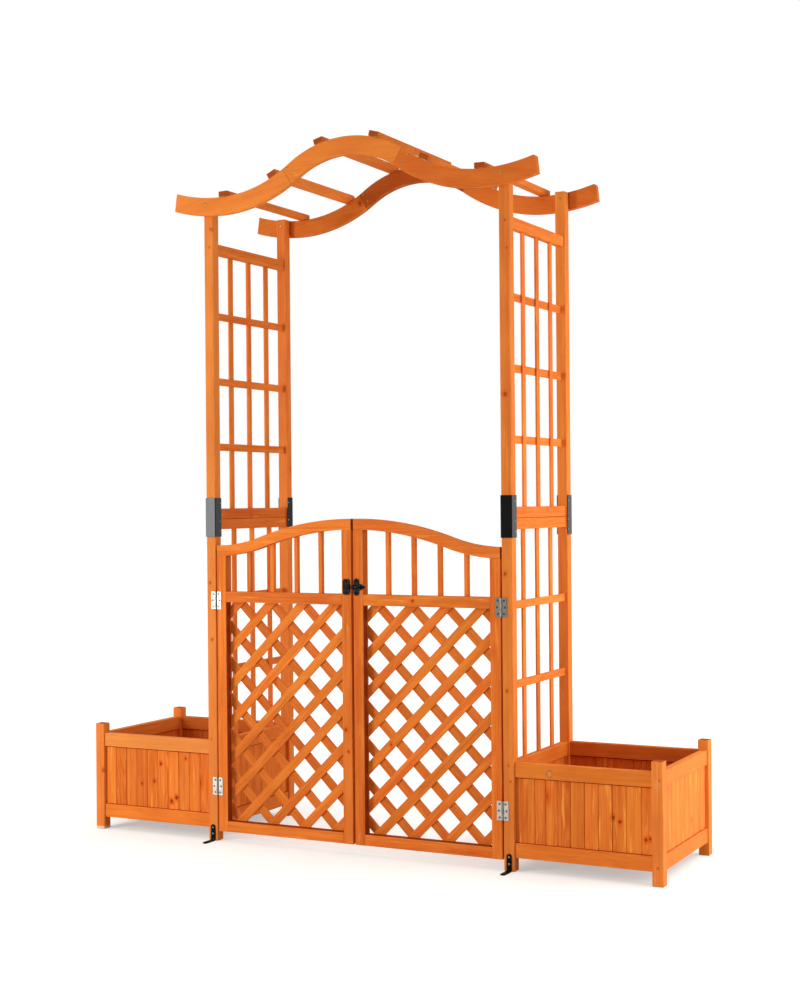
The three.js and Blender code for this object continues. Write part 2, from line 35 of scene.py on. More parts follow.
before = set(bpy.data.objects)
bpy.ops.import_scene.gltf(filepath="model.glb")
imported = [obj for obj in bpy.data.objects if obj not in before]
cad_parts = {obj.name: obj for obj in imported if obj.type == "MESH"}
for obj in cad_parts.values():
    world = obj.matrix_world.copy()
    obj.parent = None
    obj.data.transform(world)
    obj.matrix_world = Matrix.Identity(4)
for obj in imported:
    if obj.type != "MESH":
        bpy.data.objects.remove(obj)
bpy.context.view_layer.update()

# Sizes

POST = 0.034
SIDES = (("left", -1), ("right", 1))
ROWS = (("front", -1), ("rear", 1))
X_AXIS = 0
Y_AXIS = 1
Z_AXIS = 2
UPRIGHT = math.pi / 2
TINY = 1e-6

# Rounding of edges, from posts to strips, and of bent or stamped steel
POST_EDGE = 0.0024
CORNER_POST_EDGE = 0.0022
STILE_EDGE = 0.0018
WIDE_EDGE = 0.0016
RAIL_EDGE = 0.0014
NARROW_EDGE = 0.001
LATH_EDGE = 0.0008
STRIP_EDGE = 0.0006
STEEL_EDGE = 0.0004

# Angles in degrees above which an edge between faces shows
TIMBER_CREASE = 25
BEAM_CREASE = 22
METAL_CREASE = 30

# Beams and purlins. Reaches are along X from the middle
BEAM_THICKNESS = 0.020
BEAM_HALF = 0.029
CROWN_RADIUS = 0.335
CROWN_CENTRE = 1.877
DIP_REACH = 0.466
DIP_HEIGHT = 2.065
TIP_REACH = 0.638
TIP_RADIUS = 0.600
TIP_CUT = math.radians(8)
LAP_REACH = 0.197
LAP_HALF = 0.020
LAP_GAP = 0.0005
BEAM_STEP = 0.009
PURLIN_SIZE = (0.034, 0.018)
PURLIN_SHARES = (-0.975, -0.555, -0.18, 0.18, 0.555, 0.975)
PURLIN_STAIN = -0.06
PURLIN_FIGURE = 0.4

# Trellises and boarded walls
SLATS = 3
UPPER_RUNGS = 3
LOWER_RUNGS = 2
LATH_WIDTH = 0.024
LATH_THICKNESS = 0.006
RAIL_THICKNESS = 0.024
PANEL_RAIL = 0.034
WALL_RAIL = 0.044
WALL_TOP = 0.325
WALL_BOTTOM = 0.041
BOARD_THICKNESS = 0.010
JOINT_GAP = 0.0014
TONGUE_WIDTH = 0.006
TONGUE_THICKNESS = 0.003
RAIL_GAP = 0.0012
BACKING_THICKNESS = 0.0075
BACKING_REACH = 0.008
# Gaps that the boards leave under the rail above and over the rail below, where dark backing strips show as
# painted shade
SHADOW_ABOVE = 0.0030
SHADOW_BELOW = 0.0018
EVEN_JOINTS = tuple((index + 1) / 10 for index in range(9))
MIXED_JOINTS = (0.145, 0.227, 0.311, 0.409, 0.511, 0.612, 0.712, 0.813, 0.92)
# Shares of JOINT_GAP by which the boards stand apart, from the arch outwards
USUAL_GAPS = (0.6, 0.8, 0.5, 0.9, 0.7, 0.6, 0.9, 0.5, 0.8)
LEFT_FRONT_GAPS = (0.6, 0.4, 1.0, 0.1, 0.1, 0.8, 0.35, 1.0, 0.5)
RIGHT_FRONT_GAPS = (0.7, 0.6, 0.35, 0.75, 0.8, 0.9, 0.9, 0.4, 0.6)

# Planter floors
FLOOR_BOARD = 0.045
FLOOR_BOARDS = 8
BEARER = 0.030

# Gate leaves
LEAF_RISE = 0.086
INFLECTION_SHARE = 1 / 3
BALUSTERS = 4
BALUSTER = 0.014
STRIP_WIDTH = 0.029
STRIP_THICKNESS = 0.005
LATTICE_ROWS = 6
LINER = 0.0008
LINER_SETBACK = 0.0025

# Faces larger than this are flat, so that rounded edges beside them don't bend their shading
FLAT_AREA = 0.0003
# A face whose normal has more than this share along the grain is end grain
END_FACING = 0.7
# Painted shade: how dark grooves, gaps and corners that lie in shadow are painted
PAINTED_SHADOW_DARKNESS = 2.0

post_low, post_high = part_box("post_front_left_lower")
POST_X = -(post_low.x + post_high.x) / 2
FRONT = post_low.y
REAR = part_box("post_rear_left_lower")[1].y
# The arch's middle plane, behind the origin because the ground anchors reach forward
MIDDLE_Y = (FRONT + REAR) / 2
# Clear depth between the front and rear posts, and height of the joints inside the sleeves
BAY = (FRONT + POST, REAR - POST)
JOINT_Z = post_high.z


# Meshes

def new_mesh():
    """Empty mesh with a face value that says which faces are rounded edges."""
    bm = bmesh.new()
    bm.faces.layers.float.new("edge")
    return bm


def outward(bm):
    bmesh.ops.recalc_face_normals(bm, faces=bm.faces)
    return bm


def round_edges(bm, edges, width, segments):
    if width <= 0:
        return bm
    layer = bm.faces.layers.float["edge"]
    made = bmesh.ops.bevel(
        bm, geom=edges, offset=width, segments=segments, profile=0.5, affect="EDGES", clamp_overlap=True,
    )
    for face in made["faces"]:
        face[layer] = 1.0
    return bm


def solid_box(size, edge, segments=2, long_only=False):
    """Box about its middle with rounded edges. Its grain runs along Z."""
    bm = new_mesh()
    bmesh.ops.create_cube(bm, size=1.0)
    bmesh.ops.scale(bm, vec=size, verts=bm.verts)
    chosen = list(bm.edges)
    if long_only:
        chosen = [e for e in bm.edges if abs(e.verts[0].co.z - e.verts[1].co.z) > TINY]
    return round_edges(bm, chosen, edge, segments)


def solid_prism(points, depth, edge, segments=2):
    """Prism from a counterclockwise outline in its own X and Z, centred in Y, with rounded rims."""
    bm = new_mesh()
    front = [bm.verts.new((x, -depth / 2, z)) for x, z in points]
    back = [bm.verts.new((x, depth / 2, z)) for x, z in points]
    front_face = bm.faces.new(front)
    back_face = bm.faces.new(list(reversed(back)))
    count = len(points)
    for index in range(count):
        after = (index + 1) % count
        bm.faces.new((front[after], front[index], back[index], back[after]))
    rims = [e for f in (front_face, back_face) for e in f.edges]
    return round_edges(outward(bm), rims, edge, segments)


def lathe(profile, segments):
    """Closed turning about Z from (radius, height) points that start and end on the axis."""
    bm = new_mesh()
    rings = []
    for radius, height in profile:
        if radius < TINY:
            rings.append([bm.verts.new((0, 0, height))])
            continue
        ring = []
        for index in range(segments):
            angle = 2 * math.pi * index / segments
            ring.append(bm.verts.new((radius * math.cos(angle), radius * math.sin(angle), height)))
        rings.append(ring)
    for lower, upper in zip(rings, rings[1:]):
        for index in range(segments):
            after = (index + 1) % segments
            corners = [lower[index % len(lower)], lower[after % len(lower)]]
            corners += [upper[after % len(upper)], upper[index % len(upper)]]
            distinct = list(dict.fromkeys(corners))
            if len(distinct) > 2:
                bm.faces.new(distinct)
    return outward(bm)


SCREW_SIDES = 40
SCREW_RING_SHARES = (0.12, 0.24, 0.36, 0.48, 0.56, 0.64, 0.8, 0.93, 1.0)
# Half width and reach of the cross recess, as shares of the head's radius, and its depth
CROSS_ARM_SHARE = 0.16
CROSS_REACH_SHARE = 0.6
CROSS_DEPTH = 0.0012
# How much lower the rim of the head is than its middle, as a share of its height
SCREW_FALL_SHARE = 0.75
SCREW_SUNK = 0.0006


def screw_head(radius, dome):
    """Screw head along Z with a cross recess pressed into its dome."""
    bm = new_mesh()
    arm = CROSS_ARM_SHARE * radius
    reach = CROSS_REACH_SHARE * radius

    def height(x, y):
        share = math.hypot(x, y) / radius
        top = dome * (1 - SCREW_FALL_SHARE * share ** 3)
        in_cross = min(abs(x), abs(y)) < arm and max(abs(x), abs(y)) < reach
        return top - (CROSS_DEPTH if in_cross else 0.0)

    centre = bm.verts.new((0, 0, height(0, 0)))
    rings = []
    for share in SCREW_RING_SHARES:
        ring = []
        for index in range(SCREW_SIDES):
            angle = 2 * math.pi * (index + 0.5) / SCREW_SIDES
            x = share * radius * math.cos(angle)
            y = share * radius * math.sin(angle)
            ring.append(bm.verts.new((x, y, height(x, y))))
        rings.append(ring)
    foot = [bm.verts.new((v.co.x, v.co.y, -SCREW_SUNK)) for v in rings[-1]]
    rings.append(foot)
    for index in range(SCREW_SIDES):
        after = (index + 1) % SCREW_SIDES
        bm.faces.new((centre, rings[0][index], rings[0][after]))
        for inner, outer in zip(rings, rings[1:]):
            bm.faces.new((inner[index], outer[index], outer[after], inner[after]))
    bm.faces.new(list(reversed(foot)))
    return outward(bm)


def holed_plate(outline, centre, radius, thickness):
    """Level plate from an outline in X and Y, with a round hole, standing up from Z = 0."""
    bm = new_mesh()
    angles = [math.atan2(y - centre[1], x - centre[0]) for x, y in outline]
    hole = [(centre[0] + radius * math.cos(a), centre[1] + radius * math.sin(a)) for a in angles]
    rings = []
    for points, z in ((outline, 0.0), (outline, thickness), (hole, thickness), (hole, 0.0)):
        rings.append([bm.verts.new((x, y, z)) for x, y in points])
    count = len(outline)
    for first, second in zip(rings, rings[1:] + rings[:1]):
        for index in range(count):
            after = (index + 1) % count
            bm.faces.new((first[index], first[after], second[after], second[index]))
    return outward(bm)


def axes_to(across, along, middle):
    """Placing matrix that turns a solid's own X and Z to these directions, and its Y square to both."""
    turn = Matrix((across, along.cross(across), along)).transposed()
    return Matrix.Translation(middle) @ turn.to_4x4()


def new_object(name, data):
    made = bpy.data.objects.new(name, data)
    bpy.context.scene.collection.objects.link(made)
    return made


class Assembly:
    """Solids gathered into one object. Each keeps its own grain coordinates and a seed of its own."""

    def __init__(self, seed):
        self.random = random.Random(seed)
        self.points = []
        self.grain = []
        self.seeds = []
        self.faces = []
        self.edge = []
        self.end = []
        self.figure = []

    def add(self, bm, place, stain=0.0, figure=1.0, ends=1.0):
        """stain is how dark all of it is, against 1 for usual end grain, or below 0 how pale; on some
        pieces it is painted shade and on others painted light. ends is the same for its end grain. figure
        is how lively its grain is, and on metal how bright it is, which on the hinges is painted light and
        shade."""
        seed = self.random.random()
        start = len(self.points)
        layer = bm.faces.layers.float["edge"]
        bm.verts.index_update()
        bm.normal_update()
        for vert in bm.verts:
            self.points.append(place @ vert.co)
            self.grain.extend(vert.co)
            self.seeds.append(seed)
        for face in bm.faces:
            self.faces.append([start + vert.index for vert in face.verts])
            self.edge.append(face[layer])
            self.end.append(max(ends, stain) if abs(face.normal.z) > END_FACING else stain)
            self.figure.append(figure)
        bm.free()

    def board(self, low, high, along, edge, segments=2, long_only=False, stain=0.0, figure=1.0):
        """Board between two corners, with its grain along one axis and its wide face across."""
        size = [abs(high[axis] - low[axis]) for axis in range(3)]
        middle = Vector([(high[axis] + low[axis]) / 2 for axis in range(3)])
        thick, across = sorted((axis for axis in range(3) if axis != along), key=lambda axis: size[axis])
        unit = [Vector([1.0 if axis == index else 0.0 for index in range(3)]) for axis in range(3)]
        solid = solid_box((size[across], size[thick], size[along]), edge, segments, long_only)
        self.add(solid, axes_to(unit[across], unit[along], middle), stain, figure)

    def stand_for(self, node, body, material, crease=TIMBER_CREASE):
        """Finished piece in the place of a node of the solids."""
        if "timber" in material.name:
            self.finish(f"{node}_timber", body, material, (node,), crease)
        else:
            self.finish(f"{node}_metal", body, material, (node,))

    def finish(self, name, body, material, replaces=(), crease=METAL_CREASE):
        mesh = bpy.data.meshes.new(name)
        mesh.from_pydata(self.points, [], self.faces)
        mesh.attributes.new("grain", "FLOAT_VECTOR", "POINT").data.foreach_set("vector", self.grain)
        mesh.attributes.new("seed", "FLOAT", "POINT").data.foreach_set("value", self.seeds)
        for kind in ("edge", "end", "figure"):
            mesh.attributes.new(kind, "FLOAT", "FACE").data.foreach_set("value", getattr(self, kind))
        mesh.materials.append(material)
        mesh.validate()
        mesh.shade_smooth()
        mesh.set_sharp_from_angle(angle=math.radians(crease))
        rounding = mesh.attributes["edge"].data
        for polygon in mesh.polygons:
            if polygon.area > FLAT_AREA and rounding[polygon.index].value == 0:
                polygon.use_smooth = False
        piece = new_object(name, mesh)
        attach(piece, body)
        # Without the number that Blender adds where the solids have a material of the same name
        if replaces:
            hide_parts(*replaces)


# Materials

def srgb(red, green, blue):
    """Linear colour from display values out of 255."""
    def linear(value):
        share = value / 255
        return share / 12.92 if share <= 0.04045 else ((share + 0.055) / 1.055) ** 2.4
    return (linear(red), linear(green), linear(blue), 1.0)


class Shader:
    """Short ways to write the nodes of a material or world."""

    def __init__(self, owner):
        self.owner = owner
        owner.use_nodes = True
        self.tree = owner.node_tree
        self.tree.nodes.clear()

    def node(self, kind, inputs=None, **settings):
        made = self.tree.nodes.new(kind)
        for key, value in settings.items():
            setattr(made, key, value)
        for key, value in (inputs or {}).items():
            if isinstance(value, bpy.types.NodeSocket):
                self.tree.links.new(value, made.inputs[key])
            else:
                made.inputs[key].default_value = value
        return made

    def attribute(self, name, output):
        return self.node("ShaderNodeAttribute", attribute_name=name).outputs[output]

    def maths(self, operation, first, second=0.0):
        return self.node("ShaderNodeMath", {0: first, 1: second}, operation=operation).outputs[0]

    def plus(self, first, second):
        return self.maths("ADD", first, second)

    def minus(self, first, second):
        return self.maths("SUBTRACT", first, second)

    def times(self, first, second):
        return self.maths("MULTIPLY", first, second)

    def vector(self, operation, first, second):
        return self.node("ShaderNodeVectorMath", {0: first, 1: second}, operation=operation).outputs[0]

    def weighted(self, *pairs):
        """Sum of values, each times its own weight."""
        total = None
        for value, weight in pairs:
            part = self.times(value, weight)
            total = part if total is None else self.plus(total, part)
        return total

    def scatter(self, seed, factor):
        """A share of one that looks unlike the seed's others."""
        return self.maths("FRACT", self.times(seed, factor))

    def noise(self, place, scale, detail=2.0, rough=0.5):
        stretched = self.vector("MULTIPLY", place, scale)
        inputs = {"Vector": stretched, "Scale": 1.0, "Detail": detail, "Roughness": rough}
        return self.node("ShaderNodeTexNoise", inputs).outputs["Fac"]

    def remap(self, value, low, high, to_low=0.0, to_high=1.0):
        inputs = {"Value": value, "From Min": low, "From Max": high, "To Min": to_low, "To Max": to_high}
        return self.node("ShaderNodeMapRange", inputs, interpolation_type="SMOOTHSTEP").outputs["Result"]

    def mix(self, factor, first, second):
        return self.node("ShaderNodeMix", {0: factor, 6: first, 7: second}, data_type="RGBA").outputs[2]

    def finish(self, inputs):
        surface = self.node("ShaderNodeBsdfPrincipled", inputs)
        self.node("ShaderNodeOutputMaterial", {"Surface": surface.outputs[0]})
        return self.owner


# Colours of the stained timber, pale and deep between its rings, and of its marks. The dark shadow colour
# is painted shade, and the pale thin-stain colour is partly painted light
PALE = srgb(238, 134, 52)
DEEP = srgb(198, 87, 24)
FLARE_COLOUR = srgb(250, 158, 62)
HALO_COLOUR = srgb(208, 74, 6)
KNOT_COLOUR = srgb(118, 34, 0)
PLUG_COLOUR = srgb(214, 144, 88)
PLUG_RIM_COLOUR = srgb(158, 78, 30)
END_COLOUR = srgb(146, 58, 8)
PAINTED_SHADOW_COLOUR = srgb(136, 30, 0)
THIN_STAIN_AND_LIT_COLOUR = srgb(252, 188, 104)
RUBBED_COLOUR = srgb(242, 156, 78)
BARE_COLOUR = srgb(226, 206, 182)


# Knots are a little longer along Z
KNOT_STRETCH = (1.0, 1.0, 0.8)
# Where each mark begins and ends to fade, as shares of its radius
KNOT_FADE = (0.35, 1.15)
HALO_FADE = (0.8, 2.6)
PLUG_FADE = (0.7, 1.2)
PLUG_RIM_RISE = (0.4, 0.9)
# Noise stretched across and along the grain, in waves per metre
FIBRES = (520, 520, 9)
STREAKS = (170, 170, 3.2)
BANDS = (55, 55, 1.4)
CLOUDS = (22, 22, 6)
FLARES = (75, 75, 6)
RUBBING = (60, 60, 12)
HEART_DRIFT = (5, 5, 1.5)
HEART_SWAY = (6, 6, 2.2)
STRAY_KNOTS = (10.0, 4.0, 4.6)
# How far each board's own piece of the noise lies from the others'
BOARD_SHIFT = (3.1, 5.7, 41.0)
RING_WIDTH = 0.0042


def length_from(shader, here, place, wobble):
    apart = shader.vector("MULTIPLY", shader.vector("SUBTRACT", here, place), KNOT_STRETCH)
    length = shader.node("ShaderNodeVectorMath", {0: apart}, operation="LENGTH").outputs["Value"]
    return shader.times(length, wobble)


def fade(shader, length, radius, shares):
    """1 inside a mark and 0 outside it."""
    return shader.remap(length, radius * shares[0], radius * shares[1], 1.0, 0.0)


def with_knots(shader, core, halo, knots):
    """Masks of knot cores and reddish halos, with those at given places and radii in the part's frame."""
    here = shader.node("ShaderNodeTexCoord").outputs["Object"]
    wobble = shader.plus(shader.noise(here, (90, 90, 90), 1.0), 0.5)
    for *place, radius in knots:
        length = length_from(shader, here, place, wobble)
        core = shader.maths("MAXIMUM", core, fade(shader, length, radius, KNOT_FADE))
        halo = shader.maths("MAXIMUM", halo, fade(shader, length, radius, HALO_FADE))
    return core, halo


def ringed(shader, colour, plugs):
    """Paler round plugs and healed knots with a thin dark rim."""
    here = shader.node("ShaderNodeTexCoord").outputs["Object"]
    wobble = shader.plus(shader.times(shader.noise(here, (120, 120, 120), 1.0), 0.4), 0.8)
    for *place, radius, rim_strength in plugs:
        length = length_from(shader, here, place, wobble)
        within = fade(shader, length, radius, PLUG_FADE)
        rise = shader.remap(length, radius * PLUG_RIM_RISE[0], radius * PLUG_RIM_RISE[1])
        colour = shader.mix(shader.times(within, 0.5), colour, PLUG_COLOUR)
        colour = shader.mix(shader.times(shader.times(within, rise), rim_strength), colour, PLUG_RIM_COLOUR)
    return colour


def scuffed(shader, colour, side, front, height):
    """Bare wood low down at one corner: towards -X from side and -Y from front, up to a height."""
    here = shader.node("ShaderNodeTexCoord").outputs["Object"]
    ragged = shader.times(shader.noise(here, (150, 150, 150)), 0.006)
    parts = shader.node("ShaderNodeSeparateXYZ", {0: here}).outputs
    level = shader.plus(parts[2], ragged)
    bare = shader.remap(level, height, height + 0.003, 1.0, 0.0)
    for part, limit in ((parts[0], side), (parts[1], front)):
        bare = shader.times(bare, shader.maths("LESS_THAN", part, limit))
    return shader.mix(shader.times(bare, 0.9), colour, BARE_COLOUR)


def timber(name, knots, flame=0.1, plugs=(), foot=()):
    """Stained softwood: growth rings, fibres, knots, darker end grain and rubbed edges."""
    shader = Shader(bpy.data.materials.new(name))
    grain = shader.attribute("grain", "Vector")
    seed = shader.attribute("seed", "Fac")
    inputs = {axis: shader.times(seed, share) for axis, share in enumerate(BOARD_SHIFT)}
    shift = shader.node("ShaderNodeCombineXYZ", inputs).outputs[0]
    place = shader.vector("ADD", grain, shift)

    # Growth rings about a heart that lies outside the board and drifts along it
    drift = shader.minus(shader.noise(place, HEART_DRIFT, 1.0), 0.5)
    sway = shader.minus(shader.noise(place, HEART_SWAY, 1.0), 0.5)
    parts = shader.node("ShaderNodeSeparateXYZ", {0: grain})
    heart_x = shader.minus(shader.scatter(seed, 7.3), 0.5)
    heart_y = shader.plus(shader.scatter(seed, 13.7), 0.28)
    across = shader.weighted((parts.outputs[0], 1.0), (heart_x, 0.06), (drift, 0.07))
    depth = shader.weighted((parts.outputs[1], 1.0), (heart_y, 0.05), (sway, 0.05))
    squared = [shader.times(part, part) for part in (across, depth)]
    radius = shader.maths("SQRT", shader.plus(*squared))
    turns = shader.times(radius, 2 * math.pi / RING_WIDTH)
    wave = shader.weighted((shader.maths("SINE", turns), 0.5), (0.5, 1.0))
    marked = shader.remap(shader.scatter(seed, 23.1), 0.35, 0.95, 0.25, 1.0)
    rings = shader.times(shader.maths("POWER", wave, 1.6), marked)

    fibres = shader.noise(place, FIBRES, 3.0, 0.6)
    streaks = shader.noise(place, STREAKS, 2.0, 0.6)
    bands = shader.noise(place, BANDS, 1.0)
    clouds = shader.noise(place, CLOUDS, 3.0)
    figure = shader.attribute("figure", "Fac")
    lively = shader.weighted((rings, flame), (bands, 0.4), (1.0, -0.25 * flame - 0.2))
    lively = shader.times(lively, figure)
    calm = shader.remap(figure, 0.0, 1.0, 0.2, 0.5)
    streaks = shader.times(shader.minus(streaks, 0.5), calm)
    even = shader.weighted((streaks, 1.0), (fibres, 0.3), (clouds, 0.45), (1.0, -0.375))
    colour = shader.mix(shader.remap(shader.plus(lively, even), -0.38, 0.38), PALE, DEEP)

    # Paler flames where the knife cut the rings flat
    flares = shader.remap(shader.noise(place, FLARES, 3.0, 0.6), 0.58, 0.72)
    flares = shader.times(flares, figure)
    colour = shader.mix(shader.times(flares, 5 * flame), colour, FLARE_COLOUR)

    # Each board takes the stain in its own way
    settings = {
        "Hue": shader.remap(shader.scatter(seed, 29.3), 0.0, 1.0, 0.4975, 0.5025),
        "Saturation": 1.0,
        "Value": shader.remap(shader.scatter(seed, 17.9), 0.0, 1.0, 0.93, 1.06),
        "Color": colour,
    }
    colour = shader.node("ShaderNodeHueSaturation", settings).outputs[0]

    # Knots: stray ones in some boards, and those that are listed
    cells = shader.vector("MULTIPLY", place, STRAY_KNOTS)
    cell = shader.node("ShaderNodeTexVoronoi", {"Vector": cells, "Scale": 1.0}, voronoi_dimensions="3D")
    chance = shader.node("ShaderNodeSeparateColor", {0: cell.outputs["Color"]}).outputs[0]
    rare = shader.times(shader.remap(chance, 0.8, 0.82), figure)
    core = shader.times(shader.remap(cell.outputs["Distance"], 0.04, 0.085, 1.0, 0.0), rare)
    halo = shader.times(shader.remap(cell.outputs["Distance"], 0.06, 0.22, 1.0, 0.0), rare)
    core, halo = with_knots(shader, core, halo, knots)
    colour = shader.mix(shader.times(halo, 0.7), colour, HALO_COLOUR)
    colour = shader.mix(shader.times(core, 0.85), colour, KNOT_COLOUR)
    colour = ringed(shader, colour, plugs)
    if foot:
        colour = scuffed(shader, colour, *foot)

    # End grain drinks more stain, and rubbed edges keep less. Above 1.2 the end value paints shade in
    # grooves, gaps and corners. Below 0 it paints pieces paler, some as thin stain and some as painted
    # light
    end = shader.attribute("end", "Fac")
    colour = shader.mix(shader.times(end, 0.85), colour, END_COLOUR)
    colour = shader.mix(shader.minus(end, 1.2), colour, PAINTED_SHADOW_COLOUR)
    colour = shader.mix(shader.times(end, -1.0), colour, THIN_STAIN_AND_LIT_COLOUR)
    edge = shader.attribute("edge", "Fac")
    rubbed = shader.times(edge, shader.remap(shader.noise(place, RUBBING), 0.42, 0.62))
    colour = shader.mix(shader.times(rubbed, 0.35), colour, RUBBED_COLOUR)

    rough = shader.remap(shader.weighted((fibres, 1.0), (rubbed, 0.4)), 0.3, 1.0, 0.56, 0.76)
    relief = shader.weighted((fibres, 0.7), (rings, -0.3), (core, -0.4))
    bump = shader.node("ShaderNodeBump", {"Strength": 0.35, "Distance": 0.0006, "Height": relief})
    return shader.finish({
        "Base Color": colour,
        "Roughness": rough,
        "Specular IOR Level": 0.06,
        "Normal": bump.outputs[0],
    })


def metal(name, base, worn, metallic, rough, specular=0.5, uneven_by=0.09):
    """Coated or plated metal with faint mottling, worn edges and an uneven sheen."""
    shader = Shader(bpy.data.materials.new(name))
    here = shader.node("ShaderNodeTexCoord").outputs["Object"]
    specks = shader.noise(here, (900, 900, 900))
    clouds = shader.noise(here, (70, 70, 70), 3.0)
    dull = tuple(0.82 * channel for channel in base[:3]) + (1.0,)
    dark = tuple(0.2 * channel for channel in base[:3]) + (1.0,)
    colour = shader.mix(shader.remap(clouds, 0.35, 0.7), base, dull)
    edge = shader.attribute("edge", "Fac")
    rubbed = shader.times(edge, shader.remap(clouds, 0.4, 0.62))
    colour = shader.mix(shader.times(rubbed, 0.5), colour, worn)
    # The figure value darkens the colour, as painted shade on the hinges' plates and knuckles
    colour = shader.mix(shader.attribute("figure", "Fac"), dark, colour)
    uneven = shader.plus(shader.times(clouds, 0.6), shader.times(specks, 0.4))
    bump = shader.node("ShaderNodeBump", {"Strength": 0.25, "Distance": 0.0002, "Height": specks})
    return shader.finish({
        "Base Color": colour,
        "Metallic": metallic,
        "Roughness": shader.remap(uneven, 0.3, 0.75, rough - uneven_by, rough + uneven_by),
        "Specular IOR Level": specular,
        "Normal": bump.outputs[0],
    })


# Marks that stand out, by place in the part and radius
WALL_KNOTS = (
    (0.848, -0.214, 0.184, 0.006), (0.868, -0.214, 0.174, 0.005), (0.945, -0.214, 0.129, 0.005),
    (0.958, -0.214, 0.132, 0.004), (-0.741, -0.214, 0.234, 0.005), (-0.767, -0.214, 0.175, 0.005),
    (-0.818, -0.214, 0.163, 0.004), (-0.641, -0.214, 0.258, 0.004), (-0.698, -0.214, 0.113, 0.006),
    (-0.678, -0.214, 0.126, 0.006), (0.983, 0.085, 0.135, 0.006), (0.984, -0.226, 0.053, 0.0025),
    (-0.969, -0.226, 0.198, 0.006), (-0.956, -0.222, 0.199, 0.004), (0.990, -0.226, 0.303, 0.0022),
)
BARE_FOOT = (-0.94, -0.18, 0.010)
WALL_PLUGS = ((0.653, -0.221, 0.298, 0.010, 0.7), (0.984, -0.226, 0.291, 0.009, 0.0))
POST_KNOTS = (
    (0.525, -0.226, 0.315, 0.0024), (0.531, -0.226, 0.268, 0.0024), (-0.522, -0.226, 1.937, 0.0028),
    (0.528, -0.226, 1.937, 0.0028), (0.534, -0.226, 1.854, 0.003), (0.524, -0.226, 1.42, 0.007),
    (-0.53, -0.226, 0.842, 0.005), (-0.524, -0.226, 0.656, 0.004), (-0.53, -0.226, 0.331, 0.0026),
    (0.519, -0.226, 0.885, 0.005), (0.522, -0.226, 0.536, 0.004), (-0.026, -0.226, 0.39, 0.005),
    (-0.018, -0.226, 0.322, 0.0035), (-0.517, -0.226, 1.998, 0.0035), (-0.51, -0.226, 1.993, 0.003),
    (-0.509, -0.226, 1.997, 0.0035),
)
RAIL_KNOTS = (
    # The last rail knot, on the rear beam beside its left lap, is a painted shadow of the lap
    (-0.28, -0.226, 0.93, 0.004), (0.21, -0.226, 0.798, 0.004), (-0.2255, 0.262, 2.132, 0.006),
)
LATTICE_KNOTS = (
    (-0.519, -0.001, 1.062, 0.006), (0.51, 0.09, 1.28, 0.004), (0.12, -0.2, 0.35, 0.004),
    (-0.3, -0.2, 0.52, 0.004),
)

post_timber = timber("post_timber", POST_KNOTS)
rail_timber = timber("rail_timber", RAIL_KNOTS)
board_timber = timber("board_timber", WALL_KNOTS, 0.16, WALL_PLUGS, BARE_FOOT)
lattice_timber = timber("lattice_timber", LATTICE_KNOTS)
black_steel = metal("black_steel", srgb(4, 4, 5), srgb(44, 45, 47), 0.0, 0.15, 0.22, uneven_by=0.03)
matt_black = metal("matt_black", srgb(5, 5, 6), srgb(34, 34, 36), 0.0, 0.36, 0.09)
zinc = metal("zinc", srgb(206, 201, 193), srgb(224, 220, 214), 1.0, 0.36, uneven_by=0.05)
screw_steel = metal("screw_steel", srgb(150, 147, 142), srgb(200, 198, 194), 1.0, 0.34)
# The hinge screws' dark heads are painted shade, in place of the shadow in their recesses
dark_screw = metal("dark_screw", srgb(52, 50, 48), srgb(84, 82, 79), 0.0, 0.5, 0.1)
yellow_zinc = metal("yellow_zinc", srgb(196, 138, 66), srgb(236, 208, 140), 0.5, 0.36)


# Posts

POST_STAIN = -0.07
# Painted light: the front left posts are painted paler, where the lamp at the front left falls brighter on
# them
LEFT_POST_PAINTED_LIGHT = -0.14
POST_FIGURE = 0.5
for node in sorted(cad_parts):
    if node.startswith("post_") and node.endswith(("_lower", "_upper")):
        stain = LEFT_POST_PAINTED_LIGHT if node.startswith("post_front_left") else POST_STAIN
        post = Assembly(node)
        post.board(*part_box(node), Z_AXIS, POST_EDGE, 3, stain=stain, figure=POST_FIGURE)
        post.stand_for(node, "arch", post_timber)


# Beams

DIP_ABOVE = DIP_HEIGHT - CROWN_CENTRE
SIDE_RADIUS = (DIP_REACH ** 2 + DIP_ABOVE ** 2 - CROWN_RADIUS ** 2) / (2 * (CROWN_RADIUS - DIP_ABOVE))
SWEEP = math.asin(DIP_REACH / (CROWN_RADIUS + SIDE_RADIUS))
CROWN_LENGTH = CROWN_RADIUS * SWEEP
DIP_DISTANCE = CROWN_LENGTH + SIDE_RADIUS * SWEEP
TIP_SWEEP = math.asin((TIP_REACH - DIP_REACH) / TIP_RADIUS)
HALF_LENGTH = DIP_DISTANCE + TIP_RADIUS * TIP_SWEEP
TIP_SKEW = BEAM_HALF * math.tan(TIP_SWEEP - TIP_CUT)
LAP_DISTANCE = DIP_DISTANCE - SIDE_RADIUS * math.asin((DIP_REACH - LAP_REACH) / SIDE_RADIUS)


def beam_point(distance, offset):
    """Place on the beam in X and Z at a signed distance from its middle, offset square to the curve."""
    side = 1 if distance >= 0 else -1
    reach = abs(distance)
    if reach <= CROWN_LENGTH:
        angle = reach / CROWN_RADIUS
        radius = CROWN_RADIUS + offset
        return side * radius * math.sin(angle), CROWN_CENTRE + radius * math.cos(angle)
    hang = SIDE_RADIUS if reach <= DIP_DISTANCE else TIP_RADIUS
    angle = (reach - DIP_DISTANCE) / hang
    radius = hang - offset
    return side * (DIP_REACH + radius * math.sin(angle)), DIP_HEIGHT + hang - radius * math.cos(angle)


